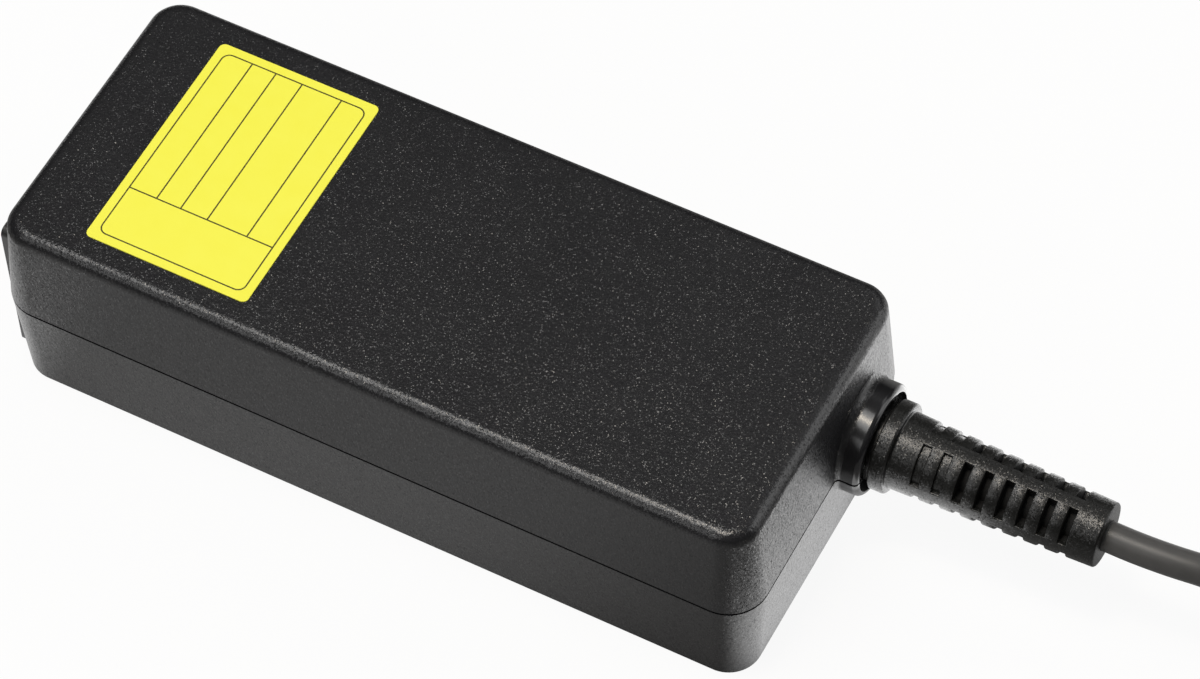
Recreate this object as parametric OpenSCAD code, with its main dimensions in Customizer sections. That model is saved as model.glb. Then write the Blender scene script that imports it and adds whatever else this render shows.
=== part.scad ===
// Laptop power adapter: a sealed mains brick with an inlet at one end and a low-voltage lead at the other.
// Millimetres. The case stands on z = 0, the lead leaves along +X and the mains inlet faces -X.
// The origin is the centre of the underside.

/* [Case] */
// Length of the case at its parting line
body_l = 107; // [105:0.5:125]
// Width of the case at its parting line
body_w = 44.7; // [44:0.1:56]
// Height of the case
body_h = 29.9; // [29.4:0.1:36]
// Height of the parting line above the underside
parting_h = 15.2; // [14.6:0.1:17]
// Thickness of the case wall
wall = 2; // [1.8:0.1:2.3]
// Thickness of the end wall round the mains inlet
inlet_wall_t = 3.6; // [3.2:0.1:4.2]
// Radius of the upright corners at the parting line
corner_r = 5.3; // [4.8:0.1:7]
// Inset of the top face on each side, from the mould draft
top_draft = 1.2; // [0.8:0.1:1.4]
// Inset of the underside on each side, from the mould draft
bottom_draft = 0.9; // [0.6:0.1:1.2]
// Fillet round the top face
top_edge_r = 1.8; // [1:0.1:2.2]
// Height of the groove along the parting line
seam_gap = 0.4; // [0.2:0.05:0.5]
// Depth of the groove along the parting line
seam_depth = 0.6; // [0.4:0.05:0.8]
// Height of the welding tongue inside the joint
tongue_h = 1.2; // [0.8:0.1:1.6]

/* [Labels] */
// Length of the yellow top label along the case
top_label_l = 23.2; // [18:0.1:28]
// Width of the yellow top label across the case
top_label_w = 34; // [28:0.1:36]
// Distance from the inlet end to the yellow label
top_label_in = 11.85; // [8:0.05:20]
// Thickness of the yellow top label
top_label_t = 0.15; // [0.1:0.01:0.3]
// Length of the plate under the case
rating_l = 82; // [60:1:90]
// Width of the plate under the case
rating_w = 34; // [26:1:37]
// Thickness of the plate and depth of its recess
rating_t = 0.25; // [0.15:0.05:0.5]

/* [Mains inlet] */
// Width of the panel round the inlet
panel_w = 38; // [34:0.5:39]
// Height of the panel round the inlet
panel_h = 24; // [20:0.5:24.5]
// Thickness of the panel
panel_t = 1.6; // [1.2:0.1:1.8]
// How far the panel lies behind the end of the case at the parting line
panel_inset = 0.2; // [0.1:0.05:0.3]
// Height of the inlet centre above the underside
inlet_z = 14; // [13.5:0.1:15]
// Radius of each mains pin
pin_r = 1.18; // [1.1:0.01:1.25]
// Distance between the two mains pins
pin_pitch = 8.6; // [8:0.1:9.5]
// Radius of each lobe of the socket
lobe_r = 3.9; // [3.6:0.1:4.2]
// Depth of the socket behind the panel face
socket_depth = 11.5; // [10:0.1:13]
// Free length of each mains pin
pin_free = 9; // [8:0.1:9.5]
// Wall of the inlet body
inlet_wall = 1.6; // [1.2:0.1:1.8]

/* [Lead exit] */
// Diameter of the low-voltage lead
cord_d = 4; // [3.6:0.1:4.4]
// Sideways place of the lead exit
exit_y = 9.25; // [4:0.05:9.5]
// Outer radius of the collar that both shells share
collar_r = 7.5; // [7.2:0.1:8]
// Length of the collar beyond the end wall
collar_l = 2.8; // [2.4:0.1:4]
// Blend radius at the root of the collar
collar_blend = 1.2; // [0.6:0.1:1.4]
// Radius of the strain relief where it passes through the collar
neck_r = 6; // [5.7:0.05:6.2]
// Radius of the flange that holds the strain relief inside the case
flange_r = 7.5; // [7:0.1:7.7]
// Thickness of that flange
flange_t = 2; // [1.6:0.1:2.4]
// Length of neck that shows beyond the collar
neck_show = 2.6; // [2:0.1:3]
// Radius of the groove in the neck that the mouth of the collar stands over
groove_r = 5.2; // [4.8:0.1:5.4]
// How far that groove runs on beyond the collar
groove_show = 0.5; // [0.3:0.1:0.8]
// Radius of the flexible tail next to the neck
tail_r0 = 5.1; // [4.9:0.05:5.4]
// Radius of the flexible tail at its end
tail_r1 = 4.25; // [4.1:0.05:4.6]
// Length of the flexible tail
tail_l = 27.7; // [26:0.1:34]
// Number of slots along the tail
slot_rows = 8; // [6:1:8]
// Number of slots that are shallow, next to the neck
slot_shallow = 2; // [0:1:3]
// Distance from one slot to the next
slot_pitch = 2.8; // [2.4:0.05:2.9]
// Width of each slot
slot_w = 1.1; // [0.8:0.05:1.3]
// Distance from the neck to the first slot
slot_first = 3.3; // [2.5:0.1:3.5]
// Angle of tail that each slot opens
slot_angle = 66; // [50:1:72]
// Depth of the shallow slots
slot_skin = 0.55; // [0.3:0.05:0.8]
// Material left between the deep slots and the lead
slot_web = 0.7; // [0.5:0.05:0.9]

/* [Plug] */
// Outer diameter of the plug barrel
barrel_d = 5.5; // [5.3:0.1:6]
// Wall of the plug barrel
barrel_wall = 0.5; // [0.4:0.05:0.6]
// Free length of the plug barrel
barrel_l = 9.5; // [8:0.1:12]
// Bore of the centre contact
bore_d = 2.5; // [2.1:0.1:2.6]
// Wall of the centre contact
contact_wall = 0.35; // [0.25:0.05:0.4]
// Diameter of the plug grip
grip_d = 9.2; // [8.6:0.1:10]
// Length of the plug grip
grip_l = 17; // [15:0.5:22]
// Length of the tapered tail on the plug grip
grip_tail_l = 10; // [9:0.5:14]

/* [Coil] */
// Turns in each layer of the coil
coil_turns = 3; // [2:1:3]
// Layers in the coil
coil_layers = 4; // [2:2:4]
// Distance from the strain relief to the centre of the coil
coil_reach = 60.4; // [60:0.1:90]
// Radius at the middle of the turns
coil_mid_r = 22.5; // [21:0.1:23]
// Distance from one turn to the next
coil_pitch = 4.45; // [4.45:0.01:4.6]
// Width of the strap round the coil
strap_w = 8; // [5:0.5:10]
// Thickness of the strap
strap_t = 0.6; // [0.4:0.1:0.8]

/* [Board] */
// Thickness of the circuit board
board_t = 1.6; // [1.2:0.1:2]
// Height of the board above the case floor
board_lift = 2.5; // [2:0.1:3]
// Thickness of the insulating sheet under the board
sheet_t = 0.4; // [0.2:0.05:0.6]
// Thickness of the aluminium heat spreader
spreader_t = 0.8; // [0.5:0.1:1]
// Thickness of the insulating liner inside the spreader
liner_t = 0.3; // [0.2:0.05:0.4]
// Thickness of the thermal pad above the spreader
pad_t = 0.8; // [0.5:0.1:1]
// Length of the thermal pad
pad_l = 60; // [40:1:70]
// Width of the thermal pad
pad_w = 30; // [20:1:34]

/* [Board parts] */
// Diameter of the fuse
fuse_d = 8; // [7:0.1:8.2]
// Height of the fuse
fuse_h = 7.6; // [6:0.1:9]
// Length of the mains filter capacitor across the case
xcap_w = 10.5; // [9:0.1:12]
// Thickness of the mains filter capacitor
xcap_t = 6; // [5:0.1:7]
// Height of the mains filter capacitor
xcap_h = 12; // [10:0.1:15]
// Diameter of the surge and inrush discs
disc_d = 9; // [7:0.1:9.5]
// Thickness of the surge and inrush discs
disc_t = 3.4; // [2.8:0.1:3.8]
// Outside diameter of the wound mains choke
choke_d = 15; // [14:0.1:15.5]
// Height of the wound mains choke
choke_h = 8; // [7:0.1:10]
// Bore of the choke core
choke_bore = 7.4; // [6.8:0.1:7.8]
// Thickness of the winding round the choke core
choke_wire = 1; // [0.8:0.1:1.2]
// Diameter of each bridging disc capacitor
ycap_d = 7.5; // [6:0.1:8]
// Thickness of each bridging disc capacitor
ycap_t = 3.5; // [3:0.1:4]
// Length of the bridge rectifier
bridge_l = 14.8; // [13:0.1:15]
// Thickness of the bridge rectifier
bridge_t = 3.4; // [3:0.1:3.8]
// Height of the bridge rectifier body
bridge_h = 10.5; // [9:0.1:12]
// Diameter of the bulk capacitor
bulk_d = 16; // [15:0.1:16.5]
// Length of the bulk capacitor
bulk_l = 25; // [23:0.1:26]
// Length of the primary heatsink
sink_l = 24; // [20:0.5:25]
// Thickness of both heatsinks
sink_t = 1.5; // [1:0.1:2]
// Width of the output heatsink
sink_w = 12; // [10.5:0.1:12.4]
// Length of the transformer along the case
trafo_l = 20; // [18:0.1:20.5]
// Length of the transformer core along the case
trafo_core_l = 11.6; // [10:0.1:13]
// Width of the transformer across the case
trafo_w = 24; // [22:0.1:24.2]
// Height of the transformer core
trafo_h = 14.6; // [13.5:0.1:15]
// Diameter of each output capacitor
outcap_d = 8; // [7:0.1:8.2]
// Height of each output capacitor
outcap_h = 14; // [11:0.1:16]

/* [Hidden] */
$fn = 48;

// Clearances
fit = 0.05;
slip = 0.15;
seat = 0.1;
rim_gap = 0.3;
lane_gap = 0.6;
over = 1;

// Case
half_l = body_l / 2;
half_w = body_w / 2;
exit_z = parting_h;
cord_r = cord_d / 2;
collar_edge_r = 0.7;
collar_lip = 0.4;
collar_seam = 0.4;
mouth_rim = 0.8;
mouth_l = 1.4;
collar_root = wall * 0.7;
top_label_corner = 0.8;
rating_corner = 2;

// Board levels
board_z = wall + board_lift;
board_top = board_z + board_t;
board_end_gap = 0.5;
board_side_gap = 0.4;
board_l = 2 * (half_l - wall - side_inset(wall) - board_end_gap);
board_w = 2 * (half_w - wall - side_inset(wall) - board_side_gap);
board_corner = 3;
boss_in = 3.6;
boss_r = 2.4;
peg_r = 1.2;
peg_h = 0.8;
board_back = (inlet_wall_t - wall) + seat;

// Inlet levels
panel_face = half_l - panel_inset;
panel_back = panel_face - panel_t;
socket_floor = panel_face - socket_depth;
socket_floor_t = 1.8;
inlet_back = socket_floor - socket_floor_t;
inlet_top = inlet_z + lobe_r + inlet_wall;
inlet_half = pin_pitch / 2 + lobe_r + inlet_wall;
waist_h = 5.6;
ear_w = 2.4;
ear_t = 1.5;
ear_h = 8;
ear_face = half_l - inlet_wall_t - side_inset(inlet_z - ear_h / 2) - fit;
pin_root_r = pin_r + 0.2;
pin_tip_r = pin_r - 0.5;
pin_taper = 0.6;
pin_tail = 1.4;

// Heat spreader levels
ceiling = body_h - wall;
spreader_top = ceiling - pad_t;
liner_top = spreader_top - spreader_t;
spreader_half = half_w - top_draft - wall - lane_gap;
liner_half = spreader_half - spreader_t;
lane_half = liner_half - liner_t - lane_gap;

// Rows of board parts, spread evenly between the inlet and the lead
wire_r = 0.75;
wire_bend = 1.8;
core_show = 0.4;
relief_seat = half_l - wall - side_inset(exit_z + flange_r) - seat;
jacket_inside = 2.3;
cord_tip = relief_seat - flange_t - jacket_inside;
wire_x = cord_tip - core_show - wire_bend;
inlet_gap = 2.6;
wire_gap = 0.4;
rows_start = -inlet_back + inlet_gap;
rows_end = wire_x - wire_r - wire_gap;
package_t = 4.4;
row_l = [
    max(fuse_d, xcap_t, 2 * disc_t + 0.4), max(choke_d, bridge_l), max(bulk_l, sink_l), trafo_l,
    max(outcap_d, sink_t + package_t)
];
row_gap = (rows_end - rows_start - row_l[0] - row_l[1] - row_l[2] - row_l[3] - row_l[4]) / 5;
row1 = rows_start + row_gap / 2;
row2 = row1 + row_l[0] + row_gap;
row3 = row2 + row_l[1] + row_gap;
row4 = row3 + row_l[2] + row_gap;
row5 = row4 + row_l[3] + row_gap;
part_gap = 0.7;
xcap_y = -lane_half + fuse_d + part_gap + xcap_w / 2;
disc_x = row1 + row_l[0] / 2;
disc_y = lane_half - disc_d / 2;
ycap_y = -lane_half + choke_d + part_gap + ycap_d / 2;
sink_y = lane_half - sink_t;

// Power package on a heatsink
sink_h = liner_top - liner_t - board_top - lane_gap;
package_w = 10;
package_h = 9;
tab_t = 1.3;
tab_h = 15;
tab_drop = 0.5;
package_leg = sink_h - tab_h - tab_drop;
screw_down = 3;
screw_z = sink_h - tab_drop - screw_down;
screw_r = 1.45;
screw_head_r = 2.7;
screw_head_h = 1.8;

// Mains choke
choke_plate = 1.2;
core_out_r = choke_d / 2 - choke_wire;
core_in_r = choke_bore / 2;
core_h = choke_h - 2 * choke_wire;
choke_post_h = choke_plate + choke_wire + core_h / 2;

// Transformer: an E core pair round an upright spool, standing on the feet of the spool
foot_h = 2;
core_plate = 3;
core_limb = 3.4;
core_post_r = 3.9;
spool_r = core_post_r + 1;
spool_half = trafo_w / 2 - core_limb - 0.3;
window_z0 = foot_h + core_plate;
window_h = trafo_h - 2 * core_plate;

// Strain relief
neck_end = half_l + collar_l + neck_show;
relief_end = neck_end + tail_l;
edge_r = 0.35;
groove_edge = 0.2;
groove_from = half_l + collar_l - mouth_l;
groove_to = half_l + collar_l + groove_show;

// Lead and coil
coil_x = relief_end + coil_reach;
coil_y = 0;
coil_start_angle = 120;
coil_steps = 24;
coil_out_r = coil_mid_r + coil_turns * coil_pitch / 2;
coil_in_r = coil_mid_r - coil_turns * coil_pitch / 2;
coil_z = strap_t + cord_r;
coil_top = coil_z + (coil_layers - 1) * coil_pitch + cord_r;
coil_dir = [sin(coil_start_angle), -cos(coil_start_angle), 0];
turns = coil_turns * coil_layers;

// Plug, which lies on the coil and points along -Y
plug_at = [coil_x + 14.4, 8.6, coil_top + grip_d / 2 + fit];
grip_end = grip_tail_l + grip_l;
barrel_root = 4;
barrel_r = barrel_d / 2;
shoulder_r = barrel_r + 0.4;
insulator_r = barrel_r - barrel_wall - fit;
contact_r = bore_d / 2 + contact_wall;

// Routes of the lead: out of the strain relief, round the coil and on to the plug
coil_points = concat(
    [coil_point(0) - cord_d * coil_dir],
    [for (i = [0 : turns * coil_steps]) coil_point(i / coil_steps)],
    [coil_point(turns) + cord_d * coil_dir]
);
run_points = concat(
    [[relief_end, exit_y, exit_z], [relief_end + cord_d, exit_y, exit_z]],
    [
        for (p = [
            [8.5, 9.5, 15.2], [13, 10.2, 14.8], [17.5, 11.2, 13.4], [22, 12.6, 11.2], [26.5, 14.4, 8.5],
            [31, 16.8, 6], [35, 19, 4], [39, 21.3, 2.8]
        ]) p + [relief_end, 0, 0]
    ],
    [coil_points[0]]
);
tail_points = concat(
    [coil_points[len(coil_points) - 1]],
    [
        for (p = [
            [-7, 29, 16.7], [-2.6, 29.6, 17.6], [1.8, 29, 18.6], [5.9, 27.3, 19.6], [9.4, 24.6, 20.5],
            [12.1, 21, 21.4], [13.8, 17, 22.2]
        ]) p + [coil_x, 0, 0]
    ],
    [plug_at + [0, cord_d, 0], plug_at]
);

// Inset of the outer side at a height, from the draft of the two moulds
function side_inset(z) =
    z < parting_h ? bottom_draft * (1 - z / parting_h) : top_draft * (z - parting_h) / (body_h - parting_h);

// Smooth step from 0 to 1
function ease(u) = let (v = max(0, min(1, u))) v * v * (3 - 2 * v);

// Centre of the lead after t turns: in and out at a steady rate, with a climb where the spiral reverses
function coil_radius(t) =
    let (k = t % (2 * coil_turns)) coil_out_r - coil_pitch * (k <= coil_turns ? k : 2 * coil_turns - k);
function coil_height(t) =
    coil_z + coil_pitch * sum([for (k = [1 : coil_layers - 1]) ease(2 * (t - k * coil_turns) + 0.5)]);
function coil_point(t) =
    let (a = coil_start_angle - 360 * t, r = coil_radius(t))
    [coil_x + r * cos(a), coil_y + r * sin(a), coil_height(t)];

function sum(v, i = 0) = i < len(v) ? v[i] + sum(v, i + 1) : 0;
function unit(v) = v / norm(v);

// Direction of a route at a point, and the ring of a tube there; up is never along the route
function along(p, i) =
    i == 0 ? unit(p[1] - p[0])
    : i == len(p) - 1 ? unit(p[i] - p[i - 1])
    : unit(unit(p[i + 1] - p[i]) + unit(p[i] - p[i - 1]));
function ring(p, i, r, sides, up) =
    let (t = along(p, i), s = unit(cross(t, up)), u = cross(s, t))
    [for (k = [0 : sides - 1]) p[i] + r * (cos(360 * k / sides) * s + sin(360 * k / sides) * u)];

// Least gap between turns of the coil, measured at its points
function least_gap(p) =
    min([
        for (i = [0 : len(p) - 1])
            for (j = [i + floor(coil_steps / 2) : len(p) - 1])
                norm(p[i] - p[j])
    ]) - cord_d;

module swept_tube(p, d, sides, up = [0, 0, 1]) {
    n = len(p);
    points = [for (i = [0 : n - 1]) each ring(p, i, d / 2, sides, up)];
    walls = [
        for (i = [0 : n - 2])
            for (k = [0 : sides - 1])
                let (a = i * sides + k, b = i * sides + (k + 1) % sides)
                    each [[a, b, b + sides], [a, b + sides, a + sides]]
    ];
    start = [for (k = [1 : sides - 2]) [0, k + 1, k]];
    finish = [for (k = [1 : sides - 2]) [(n - 1) * sides, (n - 1) * sides + k, (n - 1) * sides + k + 1]];
    polyhedron(points, concat(walls, start, finish));
}

// Flat plate outline with round corners
module plate_outline(l, w, r) {
    square([l - 2 * r, w], center = true);
    square([l, w - 2 * r], center = true);
    for (x = [-1, 1])
        for (y = [-1, 1])
            translate([x * (l / 2 - r), y * (w / 2 - r)]) circle(r);
}

module box_at(low, high) {
    translate(low) cube(high - low);
}

module rod_x(x0, x1, r) {
    translate([x0, 0, 0]) rotate([0, 90, 0]) cylinder(h = x1 - x0, r = r);
}

// One upright corner of a block, drafted like the case; edge rounds its top
module corner_post(z0, z1, inset, edge, below, above) {
    r0 = corner_r - side_inset(z0) - inset;
    r1 = corner_r - side_inset(z1 - edge) - inset;
    round_top = edge > 0 ? [for (a = [0 : 15 : 90]) [r1 - edge + edge * cos(a), z1 - edge + edge * sin(a)]]
                         : [[r1, z1]];
    rotate_extrude($fn = 64)
        polygon(concat(
            [[0, z0 - below], [r0, z0 - below], [r0, z0]], round_top, above > 0 ? [[r1, z1 + above]] : [],
            [[0, z1 + above]]
        ));
}

// Block that follows the outside of the case, inset all round and moved in at the inlet end
module case_block(z0, z1, inset = 0, edge = 0, below = 0, above = 0, inlet_end = 0) {
    hull()
        for (x = [-half_l + corner_r + inlet_end, half_l - corner_r])
            for (y = [-1, 1])
                translate([x, y * (half_w - corner_r), 0]) corner_post(z0, z1, inset, edge, below, above);
}

module collar() {
    root = side_inset(exit_z + collar_r);
    translate([half_l, exit_y, exit_z])
        rotate([0, 90, 0])
            rotate_extrude()
                polygon(concat(
                    [[0, -collar_root], [collar_r + collar_blend, -collar_root]],
                    [
                        for (a = [0 : 15 : 90])
                            [
                                collar_r + collar_blend - collar_blend * sin(a),
                                -root + collar_blend - collar_blend * cos(a)
                            ]
                    ],
                    [
                        for (a = [0 : 15 : 90])
                            [
                                collar_r - collar_edge_r + collar_edge_r * cos(a),
                                collar_l - collar_edge_r + collar_edge_r * sin(a)
                            ]
                    ],
                    [[0, collar_l]]
                ));
}

// Everything that passes through the end walls of both shells
module end_openings() {
    translate([0, exit_y, exit_z]) {
        rod_x(relief_seat - flange_t, half_l + collar_l + over, neck_r + rim_gap);
        rod_x(half_l + collar_l - mouth_l, half_l + collar_l + over, collar_r - mouth_rim);
    }
    translate([-panel_back + seat, 0, inlet_z])
        rotate([0, -90, 0])
            linear_extrude(height = panel_t + panel_inset + over)
                plate_outline(panel_h + 2 * seat, panel_w + 2 * seat, 1 + seat);
    box_at(
        [-panel_back - over, -inlet_half - slip, board_top - slip],
        [-panel_back + inlet_wall_t + over, inlet_half + slip, inlet_top + slip]
    );
}

module bottom_shell() color("#26272a") {
    difference() {
        union() {
            case_block(0, parting_h - seam_gap);
            case_block(parting_h - seam_gap - fit, parting_h, inset = seam_depth);
            intersection() {
                collar();
                box_at([0, -half_w, -over], [body_l, half_w, parting_h - seam_gap]);
            }
            intersection() {
                translate([0, exit_y, exit_z])
                    rod_x(half_l - wall, half_l + collar_l - collar_lip, collar_r - collar_seam);
                box_at([0, -half_w, -over], [body_l, half_w, parting_h]);
            }
        }
        difference() {
            case_block(wall, parting_h, inset = wall, above = over, inlet_end = inlet_wall_t - wall);
            board_corners() cylinder(h = board_z, r = boss_r);
        }
        case_block(
            parting_h - tongue_h - seat, parting_h, inset = wall / 2, above = over, below = 0, inlet_end = 0
        );
        translate([0, 0, -over])
            linear_extrude(height = over + rating_t)
                plate_outline(rating_l + 2 * seat, rating_w + 2 * seat, rating_corner);
        end_openings();
    }
    board_corners() translate([0, 0, board_z - fit]) cylinder(h = board_t + peg_h + fit, r = peg_r);
}

module top_shell() color("#26272a")
    difference() {
        union() {
            case_block(parting_h, body_h, edge = top_edge_r);
            case_block(parting_h - tongue_h, parting_h, inset = wall / 2 + fit, above = fit);
            intersection() {
                collar();
                box_at([0, -half_w, parting_h], [body_l, half_w, body_h]);
            }
        }
        case_block(
            parting_h, body_h - wall, inset = wall, below = tongue_h + over, inlet_end = inlet_wall_t - wall
        );
        end_openings();
    }

module top_label() color("#f7f23a")
    translate([-half_l + top_label_in + top_label_l / 2, 0, body_h])
        linear_extrude(height = top_label_t) plate_outline(top_label_l, top_label_w, top_label_corner);

module rating_label() color("#3a3b3e")
    linear_extrude(height = rating_t) plate_outline(rating_l, rating_w, rating_corner - seat);

// Outline of the two-pin socket
module socket_outline(grow = 0) {
    for (y = [-1, 1])
        translate([0, y * pin_pitch / 2]) circle(lobe_r + grow);
    square([waist_h + 2 * grow, pin_pitch], center = true);
}

module inlet_panel() color("#1c1d1f")
    translate([-panel_back, 0, inlet_z])
        rotate([0, -90, 0])
            linear_extrude(height = panel_t)
                difference() {
                    plate_outline(panel_h, panel_w, 1);
                    socket_outline();
                }

module inlet_body() color("#17181a")
    difference() {
        union() {
            box_at([-panel_back, -inlet_half, board_top], [-inlet_back, inlet_half, inlet_top]);
            box_at(
                [-ear_face, -inlet_half - ear_w, inlet_z - ear_h / 2],
                [-ear_face + ear_t, inlet_half + ear_w, inlet_z + ear_h / 2]
            );
        }
        translate([-socket_floor, 0, inlet_z])
            rotate([0, -90, 0]) linear_extrude(height = socket_depth) socket_outline();
        for (y = [-1, 1])
            translate([0, y * pin_pitch / 2, inlet_z])
                rod_x(-socket_floor - over, -inlet_back + over, pin_root_r + fit);
    }

module inlet_pins() color("#c9cbd0")
    for (y = [-1, 1])
        translate([0, y * pin_pitch / 2, 0]) {
            translate([0, 0, inlet_z]) {
                rod_x(-socket_floor - pin_free + pin_taper, -socket_floor, pin_r);
                rod_x(-socket_floor, -inlet_back + pin_tail, pin_root_r);
                translate([-socket_floor - pin_free, 0, 0])
                    rotate([0, 90, 0]) cylinder(h = pin_taper, r1 = pin_tip_r, r2 = pin_r);
            }
            box_at([-inlet_back + 0.4, -0.6, board_top], [-inlet_back + pin_tail - 0.2, 0.6, inlet_z]);
        }

// The four corners of the board that stand on bosses
module board_corners() {
    for (x = [-board_l / 2 + board_back + boss_in, board_l / 2 - boss_in])
        for (y = [-1, 1])
            translate([x, y * (board_w / 2 - boss_in), 0]) children();
}

module board_outline() {
    translate([board_back / 2, 0]) plate_outline(board_l - board_back, board_w, board_corner);
}

module circuit_board() color("#2f6b45")
    difference() {
        translate([0, 0, board_z]) linear_extrude(height = board_t) board_outline();
        board_corners() cylinder(h = board_top + over, r = peg_r + slip);
    }

module insulation_sheet() color("#c8b98a")
    difference() {
        translate([0, 0, board_z - sheet_t]) linear_extrude(height = sheet_t) board_outline();
        board_corners() cylinder(h = board_top, r = boss_r + slip);
    }

// A can capacitor that stands up, with its crimped groove
module can(d, h) {
    rotate_extrude()
        polygon([
            [0, 0], [d / 2 - 0.3, 0], [d / 2, 0.3], [d / 2, 1.4], [d / 2 - 0.5, 1.8], [d / 2, 2.2],
            [d / 2, h - 0.4], [d / 2 - 0.4, h], [0, h]
        ]);
}

// A coated disc on two leads, facing along X
module coated_disc(d, t) {
    lead = 1.6;
    translate([-t / 2, 0, lead + d / 2])
        rotate([0, 90, 0])
            rotate_extrude()
                polygon([[0, 0], [d / 2 - 0.8, 0], [d / 2, 0.8], [d / 2, t - 0.8], [d / 2 - 0.8, t], [0, t]]);
    for (y = [-1, 1])
        translate([0, y * d / 4, 0]) cylinder(h = lead + d / 4, r = 0.35);
}

module fuse() color("#6b4a2c")
    translate([row1 + row_l[0] / 2, -lane_half + fuse_d / 2, board_top]) can(fuse_d, fuse_h);

module x_capacitor() color("#d9b53a")
    translate([row1 + row_l[0] / 2, xcap_y, board_top])
        difference() {
            box_at([-xcap_t / 2, -xcap_w / 2, 0], [xcap_t / 2, xcap_w / 2, xcap_h]);
            box_at([-xcap_t / 2 - over, -xcap_w / 2 + 1, -over], [xcap_t / 2 + over, xcap_w / 2 - 1, 0.4]);
        }

module surge_varistor() color("#2f63a8")
    translate([disc_x + disc_t / 2 + 0.2, disc_y, board_top]) coated_disc(disc_d, disc_t);

module inrush_thermistor() color("#33463a")
    translate([disc_x - disc_t / 2 - 0.2, disc_y, board_top]) coated_disc(disc_d, disc_t);

module at_choke() {
    translate([row2 + row_l[1] / 2, -lane_half + choke_d / 2, board_top]) children();
}

module choke_base() color("#1b1b1b")
    at_choke() {
        cylinder(h = choke_plate, r = choke_d / 2);
        cylinder(h = choke_post_h, r = core_in_r - choke_wire - 0.3);
    }

module choke_core() color("#4b4e52")
    at_choke()
        translate([0, 0, choke_plate + choke_wire])
            rotate_extrude() translate([core_in_r, 0]) square([core_out_r - core_in_r, core_h]);

module choke_windings() color("#b06a34")
    at_choke()
        for (side = [0, 180])
            rotate([0, 0, side + 20])
                translate([0, 0, choke_plate])
                    rotate_extrude(angle = 140)
                        difference() {
                            translate([core_in_r - choke_wire, 0])
                                square([core_out_r - core_in_r + 2 * choke_wire, choke_h]);
                            translate([core_in_r - fit, choke_wire - fit])
                                square([core_out_r - core_in_r + 2 * fit, core_h + 2 * fit]);
                        }

module bridge_rectifier() color("#222326")
    translate([row2 + row_l[1] / 2, lane_half - bridge_t / 2, board_top])
        difference() {
            union() {
                box_at([-bridge_l / 2, -bridge_t / 2, 1.5], [bridge_l / 2, bridge_t / 2, 1.5 + bridge_h]);
                for (k = [-1.5 : 1 : 1.5])
                    box_at([k * 3.6 - 0.5, -0.3, 0], [k * 3.6 + 0.5, 0.3, 2]);
            }
            translate([bridge_l / 2, -bridge_t, 1.5 + bridge_h])
                rotate([0, 45, 0]) translate([-1.5, 0, -1.5]) cube([3, 2 * bridge_t, 3]);
            translate([0, -bridge_t, 1.5 + bridge_h / 2])
                rotate([-90, 0, 0]) cylinder(h = 2 * bridge_t, r = 1.6);
        }

module y_capacitors() color("#3b7fb5")
    for (k = [-1, 1])
        translate([row2 + row_l[1] / 2 + k * (ycap_t / 2 + part_gap), ycap_y, board_top])
            coated_disc(ycap_d, ycap_t);

module bulk_capacitor() color("#23242a")
    translate([row3 + row_l[2] / 2 - bulk_l / 2, -lane_half + bulk_d / 2, board_top + bulk_d / 2]) {
        rotate([0, 90, 0]) can(bulk_d, bulk_l);
        for (y = [-1, 1])
            translate([0, y * 2.5, 0]) {
                rod_x(-0.8, 0.5, 0.4);
                translate([-0.5, 0, -bulk_d / 2]) cylinder(h = bulk_d / 2, r = 0.3);
            }
    }

// A power transistor package that faces -Y, its back on the plane y = 0
module power_package() {
    difference() {
        union() {
            box_at([-package_w / 2, -tab_t, package_leg], [package_w / 2, 0, package_leg + tab_h]);
            box_at([-package_w / 2, -package_t, package_leg], [package_w / 2, 0, package_leg + package_h]);
            for (k = [-1 : 1])
                box_at([k * 2.54 - 0.4, -2.9, 0], [k * 2.54 + 0.4, -2.4, package_leg + 1]);
        }
        translate([0, -tab_t - over, screw_z])
            rotate([-90, 0, 0]) cylinder(h = tab_t + 2 * over, r = screw_r + slip);
    }
}

module package_screw() {
    translate([0, sink_t, screw_z]) rotate([90, 0, 0]) cylinder(h = sink_t + tab_t + 0.2, r = screw_r);
    translate([0, -tab_t, screw_z])
        rotate([90, 0, 0])
            difference() {
                cylinder(h = screw_head_h, r = screw_head_r);
                translate([-0.4, -screw_head_r, screw_head_h - 0.8]) cube([0.8, 2 * screw_head_r, 1]);
            }
}

module sink_plate(l) {
    difference() {
        box_at([-l / 2, 0, 0], [l / 2, sink_t, sink_h]);
        translate([0, -over, screw_z]) rotate([-90, 0, 0]) cylinder(h = sink_t + 2 * over, r = screw_r + fit);
    }
}

module at_primary() {
    translate([row3 + row_l[2] / 2, sink_y, board_top]) children();
}

module primary_heatsink() color("#a9adb3")
    at_primary() sink_plate(sink_l);

module primary_transistor() color("#1f2023")
    at_primary() power_package();

module primary_screw() color("#8e9298")
    at_primary() package_screw();

module controller_chip() color("#1d1e20")
    translate([row3 + row_l[2] / 2, sink_y - package_t - 3, board_top])
        difference() {
            union() {
                box_at([-2.5, -1.9, 0.2], [2.5, 1.9, 1.6]);
                for (k = [-1.5 : 1 : 1.5])
                    for (y = [-1, 1])
                        translate([k * 1.27, y * 2.2, 0.35]) cube([0.45, 0.9, 0.7], center = true);
            }
            translate([-1.8, 1.2, 1.4]) cylinder(h = 1, r = 0.4);
        }

module at_transformer() {
    translate([row4 + trafo_l / 2, -lane_half + trafo_w / 2, board_top]) children();
}

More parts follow.
